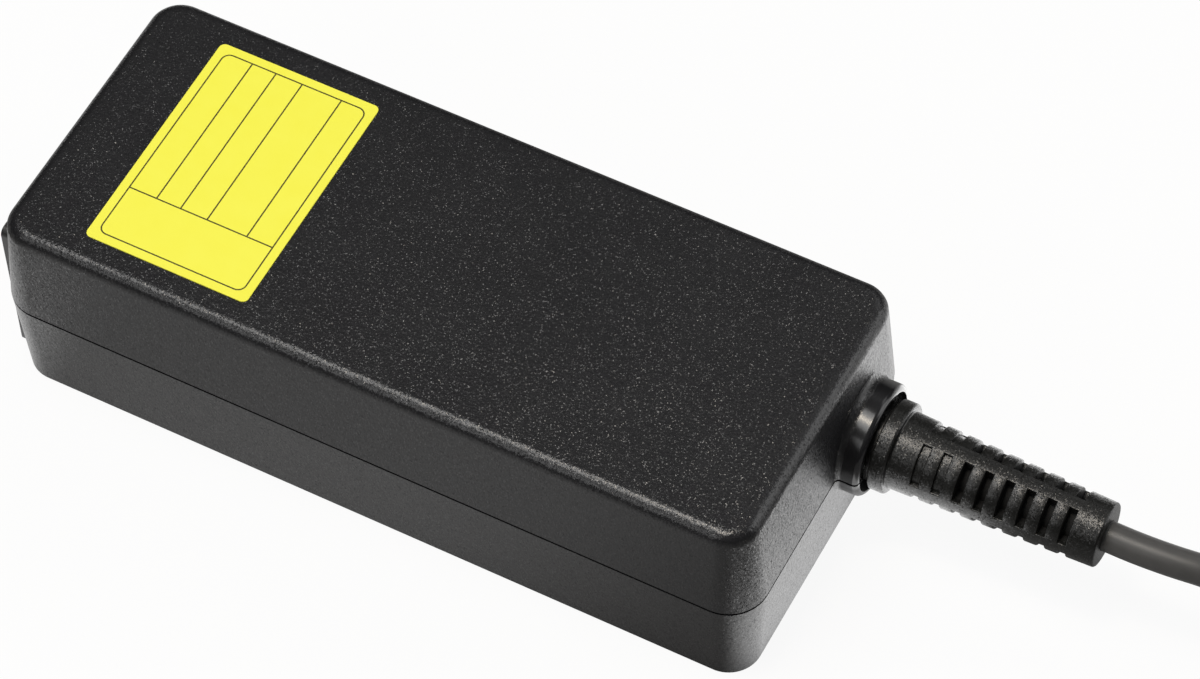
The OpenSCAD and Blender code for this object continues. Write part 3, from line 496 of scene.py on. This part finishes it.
cross_at = Vector((0, inner_low.y + CROSS_RULE_UP, z))
field = rule(label_shape, field, cross_at, Vector((0, 1, 0)))
rows = [f for f in field if f.calc_center_median().y > cross_at.y + LINE_W]
cross_line = [f for f in field if cross_at.y < f.calc_center_median().y < cross_at.y + LINE_W]
for row_rule in ROW_RULES:
    row_at = Vector((inner_low.x + row_rule, 0, z))
    rows = rule(label_shape, rows, row_at, Vector((1, 0, 0)))
rows_printed = [
    f for f in rows
    if any(0 < f.calc_center_median().x - inner_low.x - row_rule < LINE_W for row_rule in ROW_RULES)
]
for face in printed + cross_line + rows_printed:
    face.material_index = 1
bmesh.ops.recalc_face_normals(label_shape, faces=label_shape.faces)
if label_shape.faces[0].normal.z < 0:
    bmesh.ops.reverse_faces(label_shape, faces=label_shape.faces)

label_mesh = bpy.data.meshes.new("yellow_label")
label_shape.to_mesh(label_mesh)
label_shape.free()

# Printed polyester film: bright yellow with a faint mottle and a low, even sheen.
label_film, tree, shader, place = start_material("printed_film", IOR=1.5)
mottle = add_node(tree, "TexNoise", {"Vector": place, "Scale": 1 / MOTTLE_SIZE, "Detail": 4})
shade = add_node(
    tree, "Mix",
    {0: mottle.outputs["Fac"], 6: linear(LABEL_SHADES[0]), 7: linear(LABEL_SHADES[1])},
    data_type="RGBA",
)
tree.links.new(shade.outputs[2], shader.inputs["Base Color"])
gloss = add_node(
    tree, "MapRange",
    {"Value": mottle.outputs["Fac"], "To Min": LABEL_GLOSS[0], "To Max": LABEL_GLOSS[1]},
)
tree.links.new(gloss.outputs["Result"], shader.inputs["Roughness"])

# Screen ink: a thin brownish black that lets a little of the yellow through.
label_ink, tree, shader, place = start_material("screen_ink", IOR=1.5, Roughness=0.5)
cover = add_node(tree, "TexNoise", {"Vector": place, "Scale": 1 / INK_COVER, "Detail": 3})
shade = add_node(
    tree, "Mix",
    {0: cover.outputs["Fac"], 6: linear(INK_SHADES[0]), 7: linear(INK_SHADES[1])},
    data_type="RGBA",
)
tree.links.new(shade.outputs[2], shader.inputs["Base Color"])

label_mesh.materials.append(label_film)
label_mesh.materials.append(label_ink)
yellow_label = bpy.data.objects.new("yellow_label", label_mesh)
scene.collection.objects.link(yellow_label)
film = yellow_label.modifiers.new("film", "SOLIDIFY")
film.thickness = label_high.z - label_low.z
film.offset = -1
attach(yellow_label, "root")
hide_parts("top_label")


# ---------------------------------------------------------------- Strain relief
# Soft black PVC, moulded over the lead in one piece with the neck that the two shells clamp.
# Eight rows of slots let it bend; the first two are only shallow pockets with a grained floor.
RELIEF_SHADES = ("#0F0F0E", "#141412")
RELIEF_GLOSS = (0.32, 0.37)
RELIEF_CLOUD = 4 * MM
RELIEF_GRAIN = 0.125 * MM
RELIEF_TILT = 0.6
RELIEF_RIPPLE = 0.01 * MM
RELIEF_Y = lead_exit.y
RELIEF_Z = lead_exit.z
NECK_END = 58.9 * MM
NECK_R = 6.0 * MM
GROOVE_FROM = 54.9 * MM
GROOVE_TO = 56.8 * MM
GROOVE_R = 5.2 * MM
FLANGE_R = 7.5 * MM
FLANGE_T = 2.0 * MM
TAIL_R0 = 5.1 * MM
TAIL_R1 = 4.25 * MM
SLOT_FIRST = 3.3 * MM
SLOT_PITCH = 2.8 * MM
SLOT_W = 1.1 * MM
SLOTS = 8
SHALLOW_SLOTS = 2
SLOT_SKIN = 0.55 * MM
SLOT_FLOOR_R = 2.75 * MM
# In degrees round the relief: the turn from one rib to the next, and the part of it that a slot
# takes.
RIB_TURN = 90
SLOT_FROM = 12
SLOT_TO = 78
# The painted shade in the slots begins a little deeper than the shallow pockets' floor.
SLOT_PAINTED_SHADE = "#050505"
SLOT_GLOSS = 0.8
PAINTED_SHADE_FROM = 1.1 * SLOT_SKIN
PAINTED_SHADE_FULL = 2 * SLOT_SKIN
SPIN_STEPS = 120
BORE_R = LEAD_D / 2 + 0.05 * MM
RIM_ROUND = 0.16 * MM
# Width of the round, and the place and radius of each turned edge that has one.
EDGE_ROUNDS = (
    (0.35 * MM, NECK_END, NECK_R), (0.25 * MM, GROOVE_TO, NECK_R),
    (0.3 * MM, relief_high.x, TAIL_R1), (0.2 * MM, NECK_END, TAIL_R0),
)
NEAR_X = 0.01 * MM
NEAR_R = 0.05 * MM


def tail_r(x):
    """Radius of the tapered tail at a place along it."""
    return TAIL_R0 + (TAIL_R1 - TAIL_R0) * (x - NECK_END) / (relief_high.x - NECK_END)


slot_starts = [NECK_END + SLOT_FIRST + i * SLOT_PITCH for i in range(SLOTS)]
profile = [
    (relief_low.x, BORE_R), (relief_low.x, FLANGE_R), (relief_low.x + FLANGE_T, FLANGE_R),
    (relief_low.x + FLANGE_T, NECK_R), (GROOVE_FROM, NECK_R), (GROOVE_FROM, GROOVE_R),
    (GROOVE_TO, GROOVE_R), (GROOVE_TO, NECK_R), (NECK_END, NECK_R), (NECK_END, TAIL_R0),
]
for start in slot_starts:
    profile += [(start, tail_r(start)), (start + SLOT_W, tail_r(start + SLOT_W))]
profile += [(relief_high.x, TAIL_R1), (relief_high.x, BORE_R)]

relief_shape = bmesh.new()
section = [relief_shape.verts.new((x, RELIEF_Y, RELIEF_Z + r)) for x, r in profile]
for i in range(len(section)):
    relief_shape.edges.new((section[i - 1], section[i]))
bmesh.ops.spin(
    relief_shape, geom=section + relief_shape.edges[:], cent=(0, RELIEF_Y, RELIEF_Z),
    axis=(1, 0, 0), angle=2 * math.pi, steps=SPIN_STEPS, use_merge=True, use_duplicate=False,
)
bmesh.ops.remove_doubles(relief_shape, verts=relief_shape.verts, dist=WELD)
bmesh.ops.recalc_face_normals(relief_shape, faces=relief_shape.faces)


def turn_of(face):
    """Angle of a face round the relief, from one rib to the next, in degrees, and its radius."""
    middle = face.calc_center_median()
    y, z = middle.y - RELIEF_Y, middle.z - RELIEF_Z
    return math.degrees(math.atan2(y, z)) % RIB_TURN, math.hypot(y, z)


rims = []
for i, start in enumerate(slot_starts):
    pocket = []
    for face in relief_shape.faces:
        turn, radius = turn_of(face)
        in_row = start < face.calc_center_median().x < start + SLOT_W
        if in_row and SLOT_FROM < turn < SLOT_TO and radius > SLOT_FLOOR_R:
            pocket.append(face)
    rim = [e for f in pocket for e in f.edges if sum(g in pocket for g in e.link_faces) == 1]
    pushed = bmesh.ops.extrude_face_region(relief_shape, geom=pocket)
    bmesh.ops.delete(relief_shape, geom=pocket, context="FACES_ONLY")
    floor_verts = [g for g in pushed["geom"] if isinstance(g, bmesh.types.BMVert)]
    floor_r = tail_r(start) - SLOT_SKIN if i < SHALLOW_SLOTS else SLOT_FLOOR_R
    shrink = floor_r / tail_r(start + SLOT_W / 2)
    bmesh.ops.scale(
        relief_shape, vec=(1, shrink, shrink),
        space=Matrix.Translation((0, -RELIEF_Y, -RELIEF_Z)), verts=floor_verts,
    )
    rims += [e for e in rim if e.is_valid]

for width, x, radius in EDGE_ROUNDS:
    ring = []
    for edge in relief_shape.edges:
        a, b = (v.co for v in edge.verts)
        middle = (a + b) / 2
        off_axis = math.hypot(middle.y - RELIEF_Y, middle.z - RELIEF_Z)
        at_place = abs(middle.x - x) < NEAR_X and abs(off_axis - radius) < NEAR_R
        if at_place and abs(a.x - b.x) < WELD:
            ring.append(edge)
    bmesh.ops.bevel(
        relief_shape, geom=ring, offset=width, segments=3, affect="EDGES", profile=0.5,
        material=-1, offset_type="OFFSET",
    )
bmesh.ops.bevel(
    relief_shape, geom=[e for e in rims if e.is_valid], offset=RIM_ROUND, segments=2,
    affect="EDGES", profile=0.5, material=-1, offset_type="OFFSET",
)
relief_mesh = bpy.data.meshes.new("slotted_relief")
relief_shape.to_mesh(relief_mesh)
relief_shape.free()

# Moulded soft PVC: deep black and dull, with the case's grain, drawn just as coarse. Deep in the
# slots the colour is darkened further as painted shade, and there it is matt and has no grain. Past
# the last slot the grain goes on, also on the end face.
relief_pvc, tree, shader, place = start_material("grained_soft_pvc", IOR=1.52)
cloud = add_node(tree, "TexNoise", {"Vector": place, "Scale": 1 / RELIEF_CLOUD, "Detail": 2})
apart = add_node(tree, "SeparateXYZ", {"Vector": place})
surface = add_node(tree, "MapRange", {
    "Value": apart.outputs["X"], "From Min": NECK_END, "From Max": relief_high.x,
    "To Min": TAIL_R0, "To Max": TAIL_R1,
})
off_axis = add_node(tree, "Mapping", {
    "Vector": place, "Location": (0, -RELIEF_Y, -RELIEF_Z), "Scale": (0, 1, 1),
})
off_axis = add_node(tree, "VectorMath", {0: off_axis.outputs["Vector"]}, operation="LENGTH")
under = add_node(
    tree, "Math", {0: surface.outputs["Result"], 1: off_axis.outputs["Value"]},
    operation="SUBTRACT",
)
slotted = add_node(tree, "MapRange", {
    "Value": apart.outputs["X"],
    "From Min": slot_starts[-1] + 1.1 * SLOT_W, "From Max": slot_starts[-1] + 1.5 * SLOT_W,
    "To Min": 1.0, "To Max": 0.0,
})
# Painted shade: deep in the slots, up to the last one, the colour is darkened towards near black.
slot_painted_shade = add_node(tree, "MapRange", {
    "Value": under.outputs["Value"], "From Min": PAINTED_SHADE_FROM, "From Max": PAINTED_SHADE_FULL,
    "To Max": slotted.outputs["Result"],
}).outputs["Result"]
shade = add_node(
    tree, "Mix",
    {0: cloud.outputs["Fac"], 6: linear(RELIEF_SHADES[0]), 7: linear(RELIEF_SHADES[1])},
    data_type="RGBA",
)
shade = add_node(
    tree, "Mix", {0: slot_painted_shade, 6: shade.outputs[2], 7: linear(SLOT_PAINTED_SHADE)}, data_type="RGBA"
)
tree.links.new(shade.outputs[2], shader.inputs["Base Color"])
gloss = add_node(
    tree, "MapRange",
    {"Value": cloud.outputs["Fac"], "To Min": RELIEF_GLOSS[0], "To Max": RELIEF_GLOSS[1]},
)
gloss = add_node(
    tree, "Mix", {0: slot_painted_shade, 2: gloss.outputs["Result"], 3: SLOT_GLOSS}, data_type="FLOAT"
)
tree.links.new(gloss.outputs[0], shader.inputs["Roughness"])
depth = add_node(tree, "MapRange", {"Value": slot_painted_shade, "To Min": 1.0, "To Max": 0.0}).outputs["Result"]
tree.links.new(
    spark_grain(tree, place, RELIEF_GRAIN, RELIEF_TILT, depth, RELIEF_RIPPLE),
    shader.inputs["Normal"],
)
finish_piece(relief_mesh, "slotted_relief", relief_pvc, "strain_relief", slot="relief_rubber")


# ---------------------------------------------------------------- Plug
# A soft PVC grip, moulded over the lead's end like the strain relief. Out of it stands a barrel of
# nickel-plated brass, with a nylon insulator and a brass spring contact pressed into it. A rubber
# strap holds the coil.
def dress(material, *names):
    """Gives CAD nodes a material of their own."""
    for name in names:
        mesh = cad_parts[name].data
        mesh.materials.clear()
        mesh.materials.append(material)


def grained_plastic(name, dark, light, low_gloss, high_gloss, grain_mm=0.25, height_mm=0.02):
    """A moulded plastic: two near shades, a grain of a stated size, and a roughness range.

    The shades change over patches twenty grains wide.
    """
    material, tree, shader, place = start_material(name, IOR=1.5)
    grain_size = grain_mm * MM
    grain = add_node(tree, "TexNoise", {"Vector": place, "Scale": 1 / grain_size, "Detail": 3})
    cloud = add_node(
        tree, "TexNoise", {"Vector": place, "Scale": 1 / (20 * grain_size), "Detail": 2}
    )
    shade = add_node(
        tree, "Mix", {0: cloud.outputs["Fac"], 6: linear(dark), 7: linear(light)}, data_type="RGBA"
    )
    tree.links.new(shade.outputs[2], shader.inputs["Base Color"])
    gloss = add_node(
        tree, "MapRange",
        {"Value": grain.outputs["Fac"], "To Min": low_gloss, "To Max": high_gloss},
    )
    tree.links.new(gloss.outputs["Result"], shader.inputs["Roughness"])
    bump = add_node(
        tree, "Bump", {"Height": grain.outputs["Fac"], "Distance": height_mm * MM, "Strength": 0.6}
    )
    tree.links.new(bump.outputs["Normal"], shader.inputs["Normal"])
    return material


def worked_metal(name, dark, light, low_gloss, high_gloss, stretch=(1, 1, 1)):
    """A metal with fine marks of its making, 0.3 mm apart, drawn out along one way by stretch."""
    material, tree, shader, place = start_material(name, Metallic=1.0)
    along = add_node(tree, "Mapping", {"Vector": place, "Scale": stretch})
    marks = add_node(
        tree, "TexNoise", {"Vector": along.outputs["Vector"], "Scale": 1 / (0.3 * MM), "Detail": 4}
    )
    shade = add_node(
        tree, "Mix", {0: marks.outputs["Fac"], 6: linear(dark), 7: linear(light)}, data_type="RGBA"
    )
    tree.links.new(shade.outputs[2], shader.inputs["Base Color"])
    gloss = add_node(
        tree, "MapRange",
        {"Value": marks.outputs["Fac"], "To Min": low_gloss, "To Max": high_gloss},
    )
    tree.links.new(gloss.outputs["Result"], shader.inputs["Roughness"])
    bump = add_node(
        tree, "Bump", {"Height": marks.outputs["Fac"], "Distance": 0.004 * MM, "Strength": 0.5}
    )
    tree.links.new(bump.outputs["Normal"], shader.inputs["Normal"])
    return material


# Nickel plate: bright and slightly warm, with faint turning marks.
nickel_plate = worked_metal(
    "nickel_plated_brass", "#B9B8B2", "#D3D2CD", 0.18, 0.3, stretch=(1, 8, 1)
)
# Drawn brass: yellow, a little duller than the plate.
drawn_brass = worked_metal("drawn_brass", "#B8904A", "#D2AE68", 0.25, 0.4)
# Moulded nylon: black with a low, even sheen. Strap rubber: dark grey and quite matt.
plug_nylon = grained_plastic("moulded_nylon", "#161616", "#1D1D1D", 0.35, 0.5)
strap_rubber = grained_plastic("strap_rubber", "#222222", "#2C2C2C", 0.55, 0.7, grain_mm=0.4)
dress(relief_pvc, "plug_grip")
dress(nickel_plate, "plug_barrel")
dress(plug_nylon, "plug_insulator")
dress(drawn_brass, "plug_contact")
dress(strap_rubber, "coil_strap")


# ---------------------------------------------------------------- Underside plate
# A matt grey polyester film, stuck into a shallow recess of the underside.
# The ratings would be printed on it; here it is blank.
# Polyester film: an even dark grey with hardly any sheen.
plate_film = grained_plastic(
    "matt_grey_film", "#37383A", "#3E3F41", 0.45, 0.6, grain_mm=0.5, height_mm=0.004
)
dress(plate_film, "rating_label")


# ---------------------------------------------------------------- Mains inlet
# An end plate and a socket body, moulded in black glass-filled nylon and held between the two
# shells. Two turned brass pins, nickel plated, are pressed through the body.
# Glass-filled nylon: black, and a little dulled by the fibres near its skin.
inlet_nylon = grained_plastic("moulded_glass_nylon", "#1A1A1B", "#232324", 0.4, 0.55)
dress(inlet_nylon, "inlet_panel", "inlet_body")
dress(nickel_plate, "inlet_pins")


# ---------------------------------------------------------------- Circuit board
# Glass-epoxy laminate with a green solder mask, which stands on four bosses of the bottom shell.
# One sheet of stiff insulating paper lies under it, and another is folded inside the heat spreader.
# Solder mask: mid green with a soft gloss. Aramid paper: buff, fibrous and matt.
solder_mask = grained_plastic(
    "solder_mask", "#1E5A38", "#2A6B45", 0.3, 0.45, grain_mm=0.8, height_mm=0.01
)
aramid_paper = grained_plastic("aramid_paper", "#CBBE92", "#D8CDA6", 0.6, 0.75, grain_mm=0.3)
dress(solder_mask, "circuit_board")
dress(aramid_paper, "insulation_sheet", "insulation_liner")


# ---------------------------------------------------------------- Mains side of the board
# Fuse, filter capacitor, dipped discs, choke, rectifier bridge and bulk capacitor, all soldered on
# leads. Each has the moulded, dipped or sleeved finish of its kind.
# Phenolic: dark brown with a low gloss. Polyester case: ochre yellow. Dipped epoxy: blue or dark
# green, a little lumpy and shiny.
phenolic = grained_plastic("brown_phenolic", "#4A2F1C", "#5A3B25", 0.3, 0.45)
yellow_case = grained_plastic("yellow_polyester_case", "#C9A136", "#D9B44A", 0.3, 0.45)
blue_dip = grained_plastic("blue_dipped_epoxy", "#24569A", "#3068AE", 0.25, 0.4, grain_mm=0.6)
green_dip = grained_plastic("green_dipped_epoxy", "#263A2E", "#324A3B", 0.35, 0.5, grain_mm=0.6)
# Bobbin nylon: black with a low sheen. Ferrite: dark grey and matt, as sintered. Package epoxy:
# near black and dull.
bobbin_nylon = grained_plastic("bobbin_nylon", "#1B1B1C", "#252526", 0.4, 0.55)
ferrite = grained_plastic("sintered_ferrite", "#3A3C3F", "#494B4F", 0.45, 0.65, grain_mm=0.4)
package_epoxy = grained_plastic("package_epoxy", "#1C1D1F", "#26272A", 0.45, 0.6)
# Enamelled copper: reddish brown under a clear lacquer. Shrunk sleeve: tight, smooth and a shiny
# blue-black.
enamelled_copper = worked_metal(
    "enamelled_copper", "#8E4F24", "#B56C35", 0.25, 0.4, stretch=(1, 1, 0.1)
)
sleeve_film = grained_plastic(
    "shrunk_pet_sleeve", "#1C1E33", "#272A45", 0.2, 0.32, grain_mm=1.2, height_mm=0.01
)
dress(phenolic, "fuse")
dress(yellow_case, "x_capacitor")
dress(blue_dip, "surge_varistor", "y_capacitors")
dress(green_dip, "inrush_thermistor")
dress(bobbin_nylon, "choke_base", "transformer_bobbin")
dress(ferrite, "choke_core", "transformer_core")
dress(enamelled_copper, "choke_windings")
dress(package_epoxy, "bridge_rectifier", "primary_transistor", "output_rectifier")
dress(package_epoxy, "controller_chip")
dress(sleeve_film, "bulk_capacitor", "output_capacitors")


# ---------------------------------------------------------------- Heatsinks and screws
# Plates of sheet aluminium carry the transistors, and a folded sheet over the board spreads the
# heat. Zinc-plated pan-head screws clamp the packages, and a silicone pad lies between the spreader
# and the case.
# Mill-finish aluminium: light grey with rolling lines. Zinc plate: grey and a little cloudy.
# Silicone: pale blue and quite matt.
mill_aluminium = worked_metal(
    "mill_finish_aluminium", "#B4B7BB", "#C9CCD0", 0.32, 0.5, stretch=(0.08, 1, 1)
)
zinc_plate = worked_metal("zinc_plated_steel", "#9A9CA0", "#B4B6BA", 0.3, 0.45)
silicone = grained_plastic("silicone_gap_pad", "#7F99AA", "#90A9BA", 0.7, 0.85, grain_mm=0.4)
dress(mill_aluminium, "primary_heatsink", "output_heatsink", "heat_spreader")
dress(zinc_plate, "primary_screw", "output_screw")
dress(silicone, "thermal_pad")


# ---------------------------------------------------------------- Transformer and output side
# Yellow polyester tape goes round the windings, and the optocoupler's body is white epoxy.
# The two cores of the lead, in red and black PVC, are soldered to the board's end.
# Polyester tape: clear yellow and shiny. Epoxy body: off-white and satin. Wire PVC: plain red and
# black, with a soft gloss.
winding_tape = grained_plastic("polyester_tape", "#CFB437", "#DEC64E", 0.25, 0.4, grain_mm=1.0)
white_epoxy = grained_plastic("white_epoxy", "#D8D8D2", "#E4E4DF", 0.4, 0.55)
red_pvc = grained_plastic("red_wire_pvc", "#9E1F1B", "#B02A24", 0.35, 0.5)
black_pvc = grained_plastic("black_wire_pvc", "#161616", "#202020", 0.35, 0.5)
dress(winding_tape, "transformer_windings")
dress(white_epoxy, "optocoupler")
dress(red_pvc, "positive_wire")
dress(black_pvc, "negative_wire")
dress(lead_pvc, "cord_end")


# ---------------------------------------------------------------- Table and light
# A wide table of white laminate. A small lamp and a wide soft one hang overhead, with a weak one in
# front, one behind and one at the side, in a dim grey room that is darker low down.
# Painted pools of light glow on the table round the case, and show only in the gloss of its walls.
TABLE_SIZE = 6.0
TABLE_DROP = 0.03 * MM
TABLE_WHITE = "#F2F2F2"
SEEN_GLOW = 0.92
MIRRORED_GLOW = 0.75
# Each painted pool adds its gain to a dim painted base glow, in full from half way in, and fades
# out at its reach.
POOL_BASE = 0.08
POOL_FULL = 0.5
POOLS = (
    dict(middle=(60 * MM, -4 * MM, 0), reach=(13 * MM, 34 * MM, 1), gain=2.6),
    dict(middle=(67 * MM, 36 * MM, 0), reach=(18 * MM, 30 * MM, 1), gain=3.4),
    dict(middle=(190 * MM, 85 * MM, 0), reach=(160 * MM, 110 * MM, 1), gain=2.0),
    dict(middle=(900 * MM, 450 * MM, 0), reach=(1000 * MM, 600 * MM, 1), gain=1.9),
    dict(middle=(-24 * MM, -76 * MM, 0), reach=(88 * MM, 108 * MM, 1), gain=0.5),
    dict(middle=(-64 * MM, -10 * MM, 0), reach=(20 * MM, 34 * MM, 1), gain=1.4),
    dict(middle=(-110 * MM, 70 * MM, 0), reach=(70 * MM, 90 * MM, 1), gain=0.6),
)
ROOM_GREY = "#707070"
ROOM_LOW = "#101010"
ROOM_HIGH = "#7C7C7C"
ROOM_RISE = (0.2, 0.85)
WHITE = (1, 1, 1, 1)
# The way from the case to each lamp, its distance and size in metres, and how bright its face is.
LAMPS = {
    "key_lamp": dict(
        way=(-0.04, -0.1, 0.99), distance=0.8, size=(0.1, 0.1), radiance=44.0, tint="#FFF1DC"
    ),
    "ceiling_lamp": dict(
        way=(-0.22, -0.13, 0.97), distance=0.9, size=(0.5, 0.5), radiance=4.9, tint="#FFFFFF"
    ),
    "front_lamp": dict(
        way=(-0.28, -0.75, 0.6), distance=0.9, size=(0.4, 0.3), radiance=2.3, tint="#FFFFFF"
    ),
    "back_lamp": dict(
        way=(0.15, 0.72, 0.68), distance=1.0, size=(0.5, 0.3), radiance=1.0, tint="#FFFFFF"
    ),
    "side_lamp": dict(
        way=(0.74, 0.5, 0.42), distance=0.9, size=(0.45, 0.65), radiance=2.0, tint="#FFFFFF"
    ),
}

table_shape = bmesh.new()
bmesh.ops.create_grid(
    table_shape, x_segments=1, y_segments=1, size=TABLE_SIZE / 2,
    matrix=Matrix.Translation((0, 0, -TABLE_DROP)),
)
table_mesh = bpy.data.meshes.new("table")
table_shape.to_mesh(table_mesh)
table_shape.free()
table = bpy.data.objects.new("table", table_mesh)
scene.collection.objects.link(table)

# White laminate: the lamps light it, the camera sees it as bright white, and it keeps a soft
# shadow. In the gloss of the case it shows mostly a painted glow: dim, with brighter painted pools
# of light. It lies a hair under the case, and from below it is see-through, so that the underside
# shows.
laminate, tree, shader, place = start_material("white_laminate", IOR=1.45, Roughness=0.8)
shader.inputs["Base Color"].default_value = linear(TABLE_WHITE)
path = add_node(tree, "LightPath")
mirrored = add_node(
    tree, "Math", {0: path.outputs["Is Glossy Ray"], 1: path.outputs["Is Transmission Ray"]},
    operation="MAXIMUM",
)
mirrored = add_node(
    tree, "Math", {0: mirrored.outputs["Value"], 1: MIRRORED_GLOW}, operation="MULTIPLY"
)
seen = add_node(
    tree, "Math", {0: path.outputs["Is Camera Ray"], 1: SEEN_GLOW}, operation="MULTIPLY"
)
share = add_node(
    tree, "Math", {0: seen.outputs["Value"], 1: mirrored.outputs["Value"]}, operation="MAXIMUM"
)
pools = POOL_BASE
for pool in POOLS:
    around = add_node(
        tree, "Mapping", {"Vector": place, "Location": pool["middle"], "Scale": pool["reach"]},
        vector_type="TEXTURE",
    )
    spread = add_node(
        tree, "TexGradient", {"Vector": around.outputs["Vector"]}, gradient_type="SPHERICAL"
    )
    spread = add_node(
        tree, "MapRange",
        {"Value": spread.outputs["Fac"], "From Max": POOL_FULL, "To Max": pool["gain"]},
        interpolation_type="SMOOTHSTEP",
    )
    pools = add_node(
        tree, "Math", {0: spread.outputs["Result"], 1: pools}, operation="ADD"
    ).outputs["Value"]
level = add_node(
    tree, "Mix", {0: path.outputs["Is Camera Ray"], 2: pools, 3: 1.0}, data_type="FLOAT"
)
glow = add_node(tree, "Emission", {"Color": WHITE, "Strength": level.outputs[0]})
both = add_node(
    tree, "MixShader",
    {0: share.outputs["Value"], 1: shader.outputs["BSDF"], 2: glow.outputs["Emission"]},
)
clear = add_node(tree, "BsdfTransparent")
below = add_node(tree, "NewGeometry").outputs["Backfacing"]
top_only = add_node(
    tree, "MixShader", {0: below, 1: both.outputs["Shader"], 2: clear.outputs["BSDF"]}
)
tree.links.new(top_only.outputs["Shader"], tree.nodes["Material Output"].inputs["Surface"])
table_mesh.materials.append(laminate)

world = bpy.data.worlds.new("studio")
scene.world = world
world.use_nodes = True
tree = world.node_tree
path = add_node(tree, "LightPath")
mirrored = add_node(
    tree, "Math", {0: path.outputs["Is Glossy Ray"], 1: path.outputs["Is Transmission Ray"]},
    operation="MAXIMUM",
)
way = add_node(tree, "SeparateXYZ", {"Vector": add_node(tree, "TexCoord").outputs["Generated"]})
rise = add_node(
    tree, "MapRange",
    {"Value": way.outputs["Z"], "From Min": ROOM_RISE[0], "From Max": ROOM_RISE[1]},
)
walls = add_node(
    tree, "Mix", {0: rise.outputs["Result"], 6: linear(ROOM_LOW), 7: linear(ROOM_HIGH)},
    data_type="RGBA",
)
room = add_node(
    tree, "Mix", {0: mirrored.outputs["Value"], 6: linear(ROOM_GREY), 7: walls.outputs[2]},
    data_type="RGBA",
)
studio = add_node(
    tree, "Mix", {0: path.outputs["Is Camera Ray"], 6: room.outputs[2], 7: WHITE},
    data_type="RGBA",
)
tree.links.new(studio.outputs[2], tree.nodes["Background"].inputs["Color"])

for name, lamp in LAMPS.items():
    data = bpy.data.lights.new(name, "AREA")
    data.shape = "RECTANGLE"
    data.size, data.size_y = lamp["size"]
    data.energy = lamp["radiance"] * math.pi * data.size * data.size_y
    data.color = linear(lamp["tint"])[:3]
    lamp_object = bpy.data.objects.new(name, data)
    way = Vector(lamp["way"]).normalized()
    lamp_object.location = CASE_MIDDLE + way * lamp["distance"]
    lamp_object.rotation_euler = way.to_track_quat("Z", "Y").to_euler()
    scene.collection.objects.link(lamp_object)

scene.view_settings.view_transform = "Standard"
